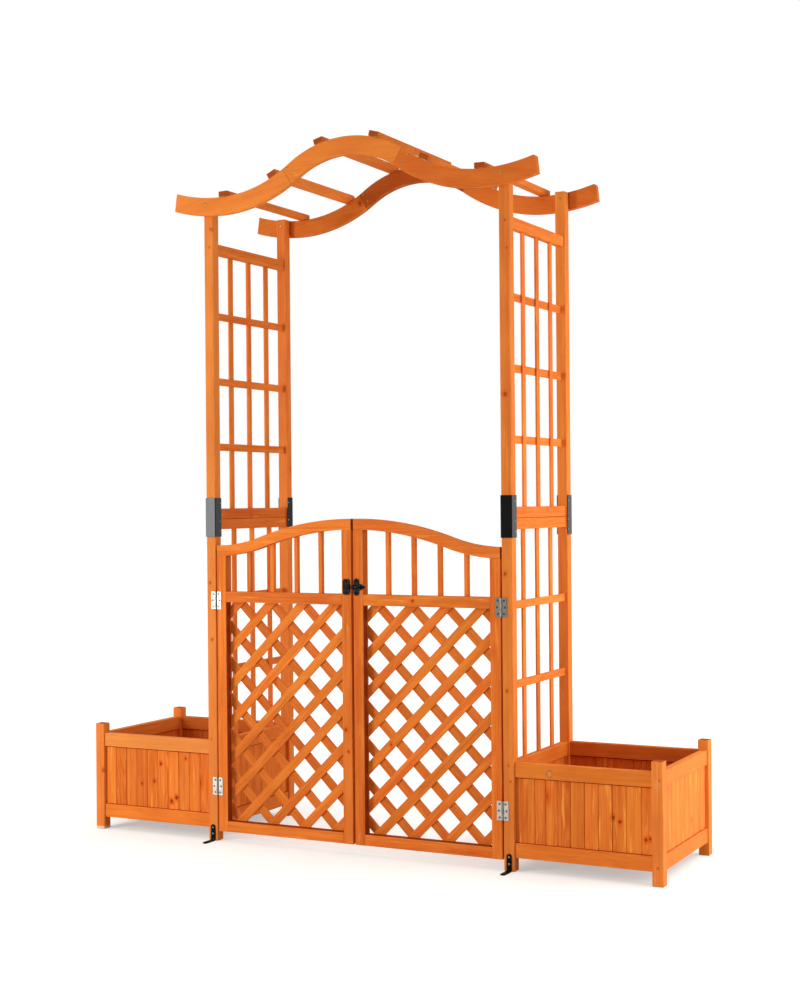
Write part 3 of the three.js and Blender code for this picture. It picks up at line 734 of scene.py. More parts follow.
def beam_turn(distance):
    side = 1 if distance >= 0 else -1
    reach = abs(distance)
    if reach <= CROWN_LENGTH:
        return side * reach / CROWN_RADIUS
    hang = SIDE_RADIUS if reach <= DIP_DISTANCE else TIP_RADIUS
    return side * (DIP_DISTANCE - reach) / hang


# Section of a beam's front half as (offset up, depth from the front face), round the rounded corners
ARRIS = 0.002
ARRIS_CUT = 0.3 * ARRIS
HALF_SECTION = (
    (-BEAM_HALF, BEAM_THICKNESS / 2), (-BEAM_HALF, ARRIS), (-BEAM_HALF + ARRIS_CUT, ARRIS_CUT),
    (-BEAM_HALF + ARRIS, 0.0), (BEAM_HALF - ARRIS, 0.0), (BEAM_HALF - ARRIS_CUT, ARRIS_CUT),
    (BEAM_HALF, ARRIS), (BEAM_HALF, BEAM_THICKNESS / 2),
)
# Rounded upper corner of the tips to the right, and the places of its points along the beam
TIP_CORNER = 0.007
CORNER_SHARES = (1.0, 0.6, 0.3, 0.1)
# Least share of a step between a cut and the next point of the even row
LEAST_STEP_SHARE = 0.3
KEY_DIGITS = 7


def beam_stations(start, end, margin, corner):
    """Distances along a segment, with the cuts of both halves and a rounded end among them."""
    cuts = {start[0], start[1], end[0], end[1]}
    cuts.update(end[0] - corner * share for share in CORNER_SHARES if corner > 0)
    cuts = sorted(cuts)
    first = math.ceil(cuts[0] / BEAM_STEP)
    last = math.floor(cuts[-1] / BEAM_STEP)
    even = [index * BEAM_STEP for index in range(first, last + 1)]
    clear = [s for s in even if min(abs(s - cut) for cut in cuts) > margin]
    return sorted(clear + cuts)


def beam_solid(start, end, start_skew, end_skew, corner):
    """Beam segment in two halves that end apart at a lap. start and end hold (front cut, rear cut), and
    corner is the radius of its end's upper corner."""
    bm = new_mesh()
    layer = bm.faces.layers.float["edge"]
    margin = LEAST_STEP_SHARE * BEAM_STEP + max(abs(start_skew), abs(end_skew))
    stations = beam_stations(start, end, margin, corner)
    found = {}

    def vert(station, offset, depth):
        along = station
        if station == stations[0]:
            along += start_skew * offset / BEAM_HALF
        from_end = end[0] - station
        if from_end < corner or station == stations[-1]:
            along += end_skew * offset / BEAM_HALF * (1 - from_end / max(corner, TINY))
        height = offset
        if offset > 0 and 0 <= from_end < corner:
            drop = corner - math.sqrt(corner ** 2 - (corner - from_end) ** 2)
            height = offset * (1 - drop / BEAM_HALF)
        key = tuple(round(value, KEY_DIGITS) for value in (station, offset, depth))
        if key not in found:
            x, z = beam_point(along, height)
            found[key] = bm.verts.new((x, depth - BEAM_THICKNESS / 2, z))
        return found[key]

    for half in (0, 1):
        section = HALF_SECTION
        if half:
            section = tuple((offset, BEAM_THICKNESS - depth) for offset, depth in HALF_SECTION)
        own = [s for s in stations if start[half] <= s <= end[half]]
        other = (max(start), min(end))
        for here, after in zip(own, own[1:]):
            strips = list(zip(section, section[1:]))
            if here < other[0] or after > other[1]:
                strips.append((section[-1], section[0]))
            for first, second in strips:
                corners = [vert(here, *first), vert(after, *first)]
                corners += [vert(after, *second), vert(here, *second)]
                face = bm.faces.new(corners)
                at_corner = max(abs(first[0]), abs(second[0])) > BEAM_HALF - ARRIS
                if at_corner and all(abs(a - b) < ARRIS for a, b in zip(first, second)):
                    face[layer] = 1.0
        for station in (own[0], own[-1]):
            bm.faces.new([vert(station, *point) for point in section])
    return outward(bm)


def sloping(angle):
    """Directions in elevation across and along a grain that climbs at an angle."""
    return Vector((math.sin(angle), 0, -math.cos(angle))), Vector((math.cos(angle), 0, math.sin(angle)))


def straight_grain(bm, angle):
    """Turns a solid so that its own Z lies along a direction in elevation, and gives the way back."""
    middle = Vector((0, 0, 0))
    for vert in bm.verts:
        middle += vert.co
    middle /= len(bm.verts)
    place = axes_to(*sloping(angle), middle)
    back = place.inverted()
    for vert in bm.verts:
        vert.co = back @ vert.co
    return place


def lap_cuts(distance, gap):
    """Front and rear cuts of a half lap, gap to one side of its own line."""
    return (distance - LAP_HALF + gap, distance + LAP_HALF + gap)


GRAIN_LEAN = 0.17
LEFT_TIP = (-HALF_LENGTH, -HALF_LENGTH)
RIGHT_TIP = (HALF_LENGTH, HALF_LENGTH)
# Name, start cuts, end cuts, skews of both ends, end corner, and how steeply the grain climbs
SEGMENTS = (
    ("left", LEFT_TIP, lap_cuts(-LAP_DISTANCE, -LAP_GAP), -TIP_SKEW, 0.0, 0.0, GRAIN_LEAN),
    ("crown", lap_cuts(-LAP_DISTANCE, LAP_GAP), lap_cuts(LAP_DISTANCE, -LAP_GAP), 0.0, 0.0, 0.0, 0.0),
    ("right", lap_cuts(LAP_DISTANCE, LAP_GAP), RIGHT_TIP, 0.0, TIP_SKEW, TIP_CORNER, -GRAIN_LEAN),
)
BEAM_FIGURE = 0.2
# Painted light and shade of each beam segment: paler where the lamps fall brighter, darker where the
# segment lies in shade, most on the rear crown
BEAM_PAINTED_LIGHT_AND_SHADE = {
    "front": {"left": -0.08, "crown": -0.06, "right": 0.32},
    "rear": {"left": 0.35, "crown": 0.85, "right": 0.15},
}
# Painted shadow: a dark strip beside each rear post, where the post laps the beam
LAP_SHADOW = 0.003
LAP_SHADOW_LOW = 2.044
LAP_SHADOW_HIGH = 2.096
SKIN = 0.0004
for row_name, row in ROWS:
    for segment_name, start, end, start_skew, end_skew, corner, lean in SEGMENTS:
        node = f"beam_{row_name}_{segment_name}"
        low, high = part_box(node)
        solid = beam_solid(start, end, start_skew, end_skew, corner)
        place = straight_grain(solid, lean)
        place = Matrix.Translation((0, (low.y + high.y) / 2, 0)) @ place
        beam = Assembly(node)
        beam.add(solid, place, BEAM_PAINTED_LIGHT_AND_SHADE[row_name][segment_name], BEAM_FIGURE, ends=0.0)
        if row > 0 and segment_name != "crown":
            x = dict(SIDES)[segment_name] * POST_X + POST / 2
            near = (x, low.y - SKIN, LAP_SHADOW_LOW)
            far = (x + LAP_SHADOW, low.y + SKIN, LAP_SHADOW_HIGH)
            beam.board(near, far, Z_AXIS, 0.0, stain=PAINTED_SHADOW_DARKNESS)
        beam.stand_for(node, "arch", rail_timber, BEAM_CREASE)

for index, share in enumerate(PURLIN_SHARES):
    node = f"purlin_{index + 1}"
    low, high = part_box(node)
    turn = beam_turn(share * DIP_DISTANCE)
    across = Vector((math.cos(turn), 0, -math.sin(turn)))
    along = Vector((0, 1, 0))
    purlin = Assembly(node)
    solid = solid_box((*PURLIN_SIZE, high.y - low.y), WIDE_EDGE)
    purlin.add(solid, axes_to(across, along, (low + high) / 2), PURLIN_STAIN, PURLIN_FIGURE)
    purlin.stand_for(node, "arch", rail_timber)


# Sides and planters

WALL_RAIL_FIGURE = 0.35
# Painted shade on the left trellis's rails at the post joints, whose faces towards the opening lie in shade
LEFT_TRELLIS_PAINTED_SHADE = 0.2
# Painted light: the end walls and their corner posts are painted paler, as their faces towards the lamps
# light up brighter
END_WALL_PAINTED_LIGHT = -0.1
# Painted shade on the rear walls, whose faces inside the planters lie in shade
REAR_WALL_PAINTED_SHADE = 0.4
LEFT_TOP_STAIN = -0.22
# Front and rear walls of the planters: joints, gaps, stain, which on the rear walls is painted shade, and
# what the upper rail has besides
WALLS = {
    ("left", "front"): (EVEN_JOINTS, LEFT_FRONT_GAPS, 0.0, LEFT_TOP_STAIN),
    ("right", "front"): (MIXED_JOINTS, RIGHT_FRONT_GAPS, 0.0, 0.0),
    ("left", "rear"): (EVEN_JOINTS, USUAL_GAPS, REAR_WALL_PAINTED_SHADE, 0.0),
    ("right", "rear"): (EVEN_JOINTS, USUAL_GAPS, REAR_WALL_PAINTED_SHADE, 0.0),
}


def even_centres(start, end, width, count):
    pitch = (end - start + width) / (count + 1)
    return [start - width / 2 + pitch * (index + 1) for index in range(count)]


def laths(panel, x, slat_side, z_from, z_to, rung_count):
    """Upright slats on one side of the panel's middle plane and level rungs on the other."""
    half = LATH_WIDTH / 2
    outer = x + slat_side * LATH_THICKNESS
    inner = x - slat_side * LATH_THICKNESS
    for y in even_centres(*BAY, LATH_WIDTH, SLATS):
        panel.board((x, y - half, z_from), (outer, y + half, z_to), Z_AXIS, LATH_EDGE)
    for z in even_centres(z_from, z_to, LATH_WIDTH, rung_count):
        panel.board((x, BAY[0], z - half), (inner, BAY[1], z + half), Y_AXIS, LATH_EDGE)


def bay_rail(panel, x, z_from, z_to, stain=0.0):
    half = RAIL_THICKNESS / 2
    panel.board((x - half, BAY[0], z_from), (x + half, BAY[1], z_to), Y_AXIS, RAIL_EDGE, stain=stain)


def boarded_wall(wall, axis, start, end, centre, joints=EVEN_JOINTS, gaps=USUAL_GAPS, stain=0.0, top=0.0):
    """Boards with V joints between a rail below and a rail above. Dark tongues behind the joints and dark
    backing strips in the gaps under and over the boards are painted shade. stain is of all of it, and top
    is of the upper rail besides."""
    def corner(along, out, z):
        return (along, out, z) if axis == X_AXIS else (out, along, z)

    def strip(middle, half_width, thickness, z_from, z_to, along):
        low = corner(middle - half_width, centre - thickness / 2, z_from)
        high = corner(middle + half_width, centre + thickness / 2, z_to)
        wall.board(low, high, along, 0.0, stain=PAINTED_SHADOW_DARKNESS)

    half = RAIL_THICKNESS / 2
    for z, rail_stain in ((WALL_BOTTOM, stain), (WALL_TOP - WALL_RAIL, stain + top)):
        low = corner(start, centre - half, z)
        high = corner(end, centre + half, z + WALL_RAIL)
        wall.board(low, high, axis, RAIL_EDGE, stain=rail_stain, figure=WALL_RAIL_FIGURE)
    half = BOARD_THICKNESS / 2
    stops = (0.0, *joints, 1.0)
    spaces = (0.0, *gaps, 0.0)
    reach = end - start
    half_gap = math.copysign(JOINT_GAP / 2, reach)
    from_z = WALL_BOTTOM + WALL_RAIL
    to_z = WALL_TOP - WALL_RAIL
    for index, (before, after) in enumerate(zip(stops, stops[1:])):
        near = start + reach * before + half_gap * spaces[index]
        far = start + reach * after - half_gap * spaces[index + 1]
        low = corner(near, centre - half, from_z + SHADOW_BELOW)
        high = corner(far, centre + half, to_z - SHADOW_ABOVE)
        wall.board(low, high, Z_AXIS, WIDE_EDGE, 1, long_only=True, stain=stain)
    for joint in joints:
        strip(start + reach * joint, TONGUE_WIDTH / 2, TONGUE_THICKNESS, from_z, to_z, Z_AXIS)
    for z in (from_z, to_z):
        middle = (start + end) / 2
        strip(middle, abs(reach) / 2, BACKING_THICKNESS, z - BACKING_REACH, z + BACKING_REACH, axis)


for side_name, side in SIDES:
    x = side * POST_X
    node = f"trellis_{side_name}_upper"
    low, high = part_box(node)
    stain = LEFT_TRELLIS_PAINTED_SHADE if side < 0 else 0.0
    upper = Assembly(f"upper {side_name}")
    bay_rail(upper, x, low.z + RAIL_GAP / 2, low.z + PANEL_RAIL, stain)
    bay_rail(upper, x, high.z - PANEL_RAIL, high.z)
    laths(upper, x, side, low.z + PANEL_RAIL, high.z - PANEL_RAIL, UPPER_RUNGS)
    # Dark tongue in the gap between the two rails that meet at the joint of the posts, painted shade
    half = RAIL_THICKNESS / 3
    near = (x - half, BAY[0], low.z - RAIL_GAP)
    upper.board(near, (x + half, BAY[1], low.z + RAIL_GAP), Y_AXIS, 0.0, stain=PAINTED_SHADOW_DARKNESS)
    upper.stand_for(node, "arch", lattice_timber)

    lower = Assembly(f"lower {side_name}")
    boarded_wall(lower, Y_AXIS, *BAY, x)
    bay_rail(lower, x, JOINT_Z - PANEL_RAIL, JOINT_Z - RAIL_GAP / 2, stain)
    laths(lower, x, -side, WALL_TOP, JOINT_Z - PANEL_RAIL, LOWER_RUNGS)
    node = f"trellis_{side_name}_lower"
    lower.stand_for(node, "arch", lattice_timber)

    for row_name, _ in ROWS:
        node = f"planter_{side_name}_{row_name}_wall"
        low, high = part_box(node)
        start, end = (low.x, high.x) if side > 0 else (high.x, low.x)
        joints, gaps, stain, top = WALLS[side_name, row_name]
        wall = Assembly(node)
        boarded_wall(wall, X_AXIS, start, end, (low.y + high.y) / 2, joints, gaps, stain, top)
        wall.stand_for(node, "arch", board_timber)

    node = f"planter_{side_name}_end"
    low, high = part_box(node)
    end_wall = Assembly(node)
    boarded_wall(end_wall, Y_AXIS, *BAY, (low.x + high.x) / 2, stain=END_WALL_PAINTED_LIGHT)
    for y in (low.y, high.y - POST):
        corners = [(low.x, y, low.z), (high.x, y + POST, high.z)]
        end_wall.board(*corners, Z_AXIS, CORNER_POST_EDGE, 3, stain=END_WALL_PAINTED_LIGHT, figure=POST_FIGURE)
    end_wall.stand_for(node, "arch", board_timber)

    node = f"planter_{side_name}_floor"
    low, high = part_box(node)
    seat = high.z - BOARD_THICKNESS
    planter_floor = Assembly(node)
    pitch = (high.x - low.x - FLOOR_BOARD) / (FLOOR_BOARDS - 1)
    for index in range(FLOOR_BOARDS):
        start = low.x + index * pitch
        far = (start + FLOOR_BOARD, high.y, high.z)
        planter_floor.board((start, low.y, seat), far, Y_AXIS, NARROW_EDGE)
    quarter = (high.y - low.y) / 4
    half = BEARER / 2
    for y in (MIDDLE_Y - quarter, MIDDLE_Y + quarter):
        planter_floor.board((low.x, y - half, low.z), (high.x, y + half, seat), X_AXIS, NARROW_EDGE)
    planter_floor.stand_for(node, "arch", board_timber)


# Gate leaves

stile_low, stile_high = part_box("gate_right_hinge_stile")
LEAF_START = stile_high.x
LEAF_FRONT = stile_low.y
LEAF_BACK = stile_high.y
LEAF_LIFT = stile_low.z
LEAF_WIDTH = LEAF_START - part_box("gate_right_latch_stile")[0].x
FRAME = stile_high.x - stile_low.x
LEAF_PEAK = JOINT_Z
LEAF_HINGE_TOP = LEAF_PEAK - LEAF_RISE
RAIL_SWEEP = 2 * math.atan(LEAF_RISE / LEAF_WIDTH)
RAIL_RADII = LEAF_WIDTH / math.sin(RAIL_SWEEP)
HOLLOW_RADIUS = RAIL_RADII * INFLECTION_SHARE
MOUND_RADIUS = RAIL_RADII - HOLLOW_RADIUS
HOLLOW_CENTRE = LEAF_HINGE_TOP + HOLLOW_RADIUS
MOUND_CENTRE = LEAF_PEAK - MOUND_RADIUS
RAIL_STEPS = 28
# Least distance between the points of the curve and the rail's straight seats
SEAT_GAP = 0.002
# Half length of a lattice strip before it is cut
STRIP_REACH = 1.2
# Painted shade: the rear layer of strips, shaded by the front one, and the thin sheets round the leaf's
# openings
REAR_LAYER_PAINTED_SHADE = 0.25
LATTICE_PAINTED_SHADE = 1.4
BALUSTER_PAINTED_SHADE = 0.5


def leaf_x(side, inward):
    return side * (LEAF_START - inward)


def rail_underside(inward):
    hollow = HOLLOW_RADIUS + FRAME
    mound = MOUND_RADIUS - FRAME
    if inward < hollow * math.sin(RAIL_SWEEP):
        return HOLLOW_CENTRE - math.sqrt(hollow ** 2 - inward ** 2)
    return MOUND_CENTRE + math.sqrt(mound ** 2 - (LEAF_WIDTH - inward) ** 2)


def rail_edge(depth):
    """Points along the curved rail, from the hinge side, at a depth below its upper edge."""
    hollow = HOLLOW_RADIUS + depth
    mound = MOUND_RADIUS - depth
    angles = [RAIL_SWEEP * step / RAIL_STEPS for step in range(RAIL_STEPS + 1)]
    points = [(hollow * math.sin(a), HOLLOW_CENTRE - hollow * math.cos(a)) for a in angles[:-1]]
    angles.reverse()
    points += [(LEAF_WIDTH - mound * math.sin(a), MOUND_CENTRE + mound * math.cos(a)) for a in angles]
    return points


def elevation_prism(parts, points, y_from, y_to, angle, edge, segments=2, stain=0.0, figure=1.0):
    """Prism seen from the front, from an outline in X and Z, with its grain at an angle to the ground."""
    across, along = sloping(angle)
    corners = [Vector((x, 0, z)) for x, z in points]
    middle = sum(corners, Vector((0, 0, 0))) / len(corners)
    own = [((corner - middle).dot(across), (corner - middle).dot(along)) for corner in corners]
    middle.y = (y_from + y_to) / 2
    solid = solid_prism(own, abs(y_to - y_from), edge, segments)
    parts.add(solid, axes_to(across, along, middle), stain, figure)


def clipped(points, axis, limit, keep):
    """The part of an outline on one side of a line: keep is 1 above the limit and -1 below it."""
    kept = []
    for here, after in zip(points, points[1:] + points[:1]):
        inside = keep * (here[axis] - limit) >= 0
        if inside:
            kept.append(here)
        if inside != (keep * (after[axis] - limit) >= 0):
            share = (limit - here[axis]) / (after[axis] - here[axis])
            kept.append(tuple(h + (a - h) * share for h, a in zip(here, after)))
    return kept


OPENING_LOW = LEAF_LIFT + FRAME
OPENING_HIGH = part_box("gate_left_middle_rail")[0].z


def lattice_layer(panel, side, y_from, angle, stain):
    """Parallel diagonal strips, cut to the opening of the leaf's frame."""
    left, right = sorted((leaf_x(side, FRAME), leaf_x(side, LEAF_WIDTH - FRAME)))
    bottom = OPENING_LOW
    top = OPENING_HIGH
    pitch = (top - bottom) / LATTICE_ROWS
    middle = leaf_x(side, LEAF_WIDTH / 2)
    along = (math.cos(angle), math.sin(angle))
    out = (-along[1], along[0])
    for index in range(-2 * LATTICE_ROWS, 2 * LATTICE_ROWS):
        height = top + (index + 1 / 2) * pitch
        corners = []
        for a, b in ((-1, -1), (1, -1), (1, 1), (-1, 1)):
            corners.append((
                middle + a * STRIP_REACH * along[0] + b * STRIP_WIDTH / 2 * out[0],
                height + a * STRIP_REACH * along[1] + b * STRIP_WIDTH / 2 * out[1],
            ))
        for axis, limit, keep in ((0, left, 1), (0, right, -1), (1, bottom, 1), (1, top, -1)):
            corners = clipped(corners, axis, limit, keep)
        if len(corners) > 2:
            y_to = y_from + STRIP_THICKNESS
            elevation_prism(panel, corners, y_from, y_to, angle, STRIP_EDGE, 1, stain)


def shade_sheet(parts, side, inward, z_from, z_to, y_to, stain):
    """Thin sheet painted dark as shade on the faces round an opening of the leaf."""
    low = (leaf_x(side, inward[0]), LEAF_FRONT + LINER_SETBACK, z_from)
    high = (leaf_x(side, inward[1]), y_to, z_to)
    along = X_AXIS if inward[1] - inward[0] > z_to - z_from else Z_AXIS
    parts.board(low, high, along, 0.0, stain=stain)


for side_name, side in SIDES:
    body = f"{side_name}_leaf"
    for stile in ("hinge_stile", "latch_stile"):
        node = f"gate_{side_name}_{stile}"
        low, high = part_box(node)
        upright = Assembly(node)
        upright.board(low, high, Z_AXIS, STILE_EDGE, 3, long_only=True)
        upright.stand_for(node, body, post_timber)

    node = f"gate_{side_name}_middle_rail"
    low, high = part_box(node)
    middle_rail = Assembly(node)
    middle_rail.board(low, high, X_AXIS, WIDE_EDGE)
    middle_rail.stand_for(node, body, rail_timber)
    rail_top = high.z

    node = f"gate_{side_name}_top_rail"
    inner = LEAF_WIDTH - FRAME
    hinge_seat = LEAF_HINGE_TOP - FRAME
    latch_seat = rail_underside(inner)
    under = [p for p in rail_edge(FRAME) if FRAME + SEAT_GAP < p[0] < inner - SEAT_GAP]
    outline = rail_edge(0.0) + [(LEAF_WIDTH, latch_seat), (inner, latch_seat)]
    outline += list(reversed(under)) + [(FRAME, hinge_seat), (0.0, hinge_seat)]
    top_rail = Assembly(node)
    points = [(leaf_x(side, inward), z) for inward, z in outline]
    elevation_prism(top_rail, points, LEAF_FRONT, LEAF_BACK, 0.0, LATH_EDGE)
    half = BALUSTER / 2
    middle = (LEAF_FRONT + LEAF_BACK) / 2
    for centre in even_centres(FRAME, LEAF_WIDTH - FRAME, BALUSTER, BALUSTERS):
        ends = (centre - half, centre + half)
        points = [(leaf_x(side, end), rail_top) for end in ends]
        points += [(leaf_x(side, end), rail_underside(end)) for end in reversed(ends)]
        elevation_prism(top_rail, points, middle - half, middle + half, UPRIGHT, NARROW_EDGE)
    top_rail.stand_for(node, body, rail_timber)

    node = f"gate_{side_name}_lattice"
    panel = Assembly(node)
    before_lattice = LEAF_BACK - 2 * STRIP_THICKNESS
    lattice_layer(panel, side, before_lattice, UPRIGHT / 2, 0.0)
    lattice_layer(panel, side, LEAF_BACK - STRIP_THICKNESS, -UPRIGHT / 2, REAR_LAYER_PAINTED_SHADE)
    low = (leaf_x(side, FRAME), LEAF_FRONT, LEAF_LIFT)
    high = (leaf_x(side, LEAF_WIDTH - FRAME), LEAF_BACK, OPENING_LOW)
    panel.board(low, high, X_AXIS, WIDE_EDGE)
    behind = LEAF_BACK - LINER_SETBACK
    for cheek in ((FRAME, FRAME + LINER), (LEAF_WIDTH - FRAME - LINER, LEAF_WIDTH - FRAME)):
        shade_sheet(panel, side, cheek, OPENING_LOW, OPENING_HIGH, before_lattice, LATTICE_PAINTED_SHADE)
        shade_sheet(panel, side, cheek, rail_top, rail_underside(cheek[0]), behind, BALUSTER_PAINTED_SHADE)
    sill = (FRAME, LEAF_WIDTH - FRAME)
    shade_sheet(panel, side, sill, OPENING_LOW, OPENING_LOW + LINER, before_lattice, LATTICE_PAINTED_SHADE)
    panel.stand_for(node, body, lattice_timber)


# Fittings

LEFT_OUT = (-1, 0, 0)
RIGHT_OUT = (1, 0, 0)
FRONT_OUT = (0, -1, 0)


def facing(out, place, spin=0.0):
    """Placing matrix that turns a solid's own Z to a level direction."""
    across = Vector((-out[1], out[0], 0))
    along = Vector(out)
    turn = Matrix.Rotation(spin, 4, "Z")
    return axes_to(across, along, Vector(place)) @ turn


def arc(centre_x, centre_z, radius, start, end, steps):
    """Points of an arc, by its centre and its end angles in degrees."""
    angles = [math.radians(start + (end - start) * step / steps) for step in range(steps + 1)]
    return [(centre_x + radius * math.cos(a), centre_z + radius * math.sin(a)) for a in angles]


def rounded(x_from, x_to, z_from, z_to, radius, steps):
    """Counterclockwise rectangle with round corners."""
    left = x_from + radius
    right = x_to - radius
    low = z_from + radius
    high = z_to - radius
    points = []
    for index, corner in enumerate(((right, low), (right, high), (left, high), (left, low))):
        points += arc(*corner, radius, 90 * index - 90, 90 * index, steps)
    return points


# Radius of each kind of screw or bolt head, and the height of its dome
HINGE_SCREW = (0.0034, 0.0009)
SLEEVE_SCREW = (0.0028, 0.001)
ANCHOR_SCREW = (0.0034, 0.0014)
LATCH_SCREW = (0.0038, 0.0018)
LAP_SCREW = (0.0038, 0.0014)
BEAM_BOLT = (0.006, 0.0024)


def add_screws(screws, size, out, places):
    for place in places:
        screws.add(screw_head(*size), facing(out, place, screws.random.uniform(0, UPRIGHT)))


BARREL_CHAMFER = 0.0004


def barrel(radius, z_from, z_to):
    """Profile of a knuckle or pin for the lathe."""
    inner = radius - BARREL_CHAMFER
    return (
        (0.0, z_from), (inner, z_from), (radius, z_from + BARREL_CHAMFER),
        (radius, z_to - BARREL_CHAMFER), (inner, z_to), (0.0, z_to),
    )


HINGE_THICKNESS = 0.002
HINGE_CORNER = 0.0012
HINGE_EDGE = 0.0003
HINGE_BARREL = 0.003
HINGE_PIN = 0.0014
BARREL_SIDES = 28
PIN_SIDES = 20
# Distances of a plate's long edges from the pin
HINGE_NEAR = 0.0035
HINGE_FAR = 0.019
STRAP_CORNER = 0.0001
KNUCKLE_GAP = 0.0002
KNUCKLE_INSET = 0.0006
# Distance of the outer screws from the plate's ends, and of all three to either side of its middle
SCREW_INSET = 0.009
SCREW_SHIFT = 0.0016
BARREL_SHADE = 0.4
# Painted light and shade: how bright the plates of the upper and lower hinges are painted, in place of how
# much light they reflect
HINGE_PAINTED_LIGHT = {"left": {"upper": 0.4, "lower": 1.0}, "right": {"upper": 0.1, "lower": 1.0}}


def hinge_plate(node, body, plate_x, pin_x, knuckles, pin, plate_light):
    """Leaf of a butt hinge with its knuckles, three screws and, on the post's leaf, the pin."""
    low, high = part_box(node)
    back = high.y
    front = back - HINGE_THICKNESS
    middle = (plate_x[0] + plate_x[1]) / 2
    plate = Assembly(node)
    outline = rounded(*plate_x, low.z, high.z, HINGE_CORNER, 4)
    elevation_prism(plate, outline, front, back, UPRIGHT, HINGE_EDGE, 1, figure=plate_light)
    near = min(plate_x, key=lambda x: abs(x - pin_x))
    axis = Matrix.Translation((pin_x, back - HINGE_BARREL, 0))
    for z_from, z_to in knuckles:
        strap = rounded(*sorted((near, pin_x)), z_from, z_to, STRAP_CORNER, 1)
        elevation_prism(plate, strap, front, back, 0.0, 0.0)
        plate.add(lathe(barrel(HINGE_BARREL, z_from, z_to), BARREL_SIDES), axis, figure=BARREL_SHADE)
    if pin:
        plate.add(lathe(barrel(HINGE_PIN, low.z, high.z), PIN_SIDES), axis, figure=BARREL_SHADE)
    plate.stand_for(node, body, zinc)
    screws = Assembly(f"{node} screws")
    shift = math.copysign(SCREW_SHIFT, middle - pin_x)
    places = [(middle - shift, front, z) for z in (low.z + SCREW_INSET, high.z - SCREW_INSET)]
    places.append((middle + shift, front, (low.z + high.z) / 2))
    add_screws(screws, HINGE_SCREW, FRONT_OUT, places)
    screws.finish(f"{node}_screws", body, dark_screw)


for side_name, side in SIDES:
    pin_x = side * (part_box("post_right_upper_hinge_plate")[0].x + HINGE_BARREL)
    for level in ("upper", "lower"):
        low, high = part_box(f"post_{side_name}_{level}_hinge_plate")
        third = (high.z - low.z) / 3
        stops = [low.z + KNUCKLE_INSET, low.z + third, high.z - third, high.z - KNUCKLE_INSET]
        outer = [(stops[0], stops[1] - KNUCKLE_GAP), (stops[2] + KNUCKLE_GAP, stops[3])]
        inner = [(stops[1] + KNUCKLE_GAP, stops[2] - KNUCKLE_GAP)]
        post_x = sorted((pin_x + side * HINGE_NEAR, pin_x + side * HINGE_FAR))
        leaf_plate_x = sorted((pin_x - side * HINGE_NEAR, pin_x - side * HINGE_FAR))
        plate_light = HINGE_PAINTED_LIGHT[side_name][level]
        hinge_plate(f"post_{side_name}_{level}_hinge_plate", "arch", post_x, pin_x, outer, True, plate_light)
        node = f"gate_{side_name}_{level}_hinge_plate"
        hinge_plate(node, f"{side_name}_leaf", leaf_plate_x, pin_x, inner, False, plate_light)


# Sleeves: steel wrapped round three faces of each post joint, with three small screws each side

SLEEVE_WALL = 0.002
SLEEVE_CORNER = 0.0022
# Distance of the screws from the sleeve's open side, and their heights above its middle
SLEEVE_SCREW_INSET = 0.007
SLEEVE_SCREW_RISES = (-0.046, -0.014, 0.046)
for row_name, row in ROWS:
    for side_name, _ in SIDES:
        node = f"sleeve_{row_name}_{side_name}"
        low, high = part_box(node)
        half = (high.x - low.x) / 2
        depth = high.y - low.y
        centre = (low.x + high.x) / 2
        outer = arc(half - SLEEVE_CORNER, depth - SLEEVE_CORNER, SLEEVE_CORNER, 0, 90, 5)
        outer += arc(-half + SLEEVE_CORNER, depth - SLEEVE_CORNER, SLEEVE_CORNER, 90, 180, 5)
        inner_half = half - SLEEVE_WALL
        inner = [(-half, 0.0), (-inner_half, 0.0), (-inner_half, depth - SLEEVE_WALL)]
        inner += [(inner_half, depth - SLEEVE_WALL), (inner_half, 0.0), (half, 0.0)]
        bay_y = high.y if row < 0 else low.y
        across = Vector((-row, 0, 0))
        along = Vector((0, row, 0))
        middle = Vector((centre, bay_y, (low.z + high.z) / 2))
        sleeve = Assembly(node)
        bent = solid_prism(outer + inner, high.z - low.z, STEEL_EDGE, 1)
        sleeve.add(bent, axes_to(across, along, middle))
        sleeve.stand_for(node, "arch", black_steel)
        screws = Assembly(f"{node} screws")
        for out in (LEFT_OUT, RIGHT_OUT):
            x = centre + out[0] * half
            y = bay_y + row * SLEEVE_SCREW_INSET
            add_screws(screws, SLEEVE_SCREW, out, [(x, y, middle.z + rise) for rise in SLEEVE_SCREW_RISES])
        screws.finish(f"{node}_screws", "arch", screw_steel)


# Ground anchors: angle brackets with a holed foot

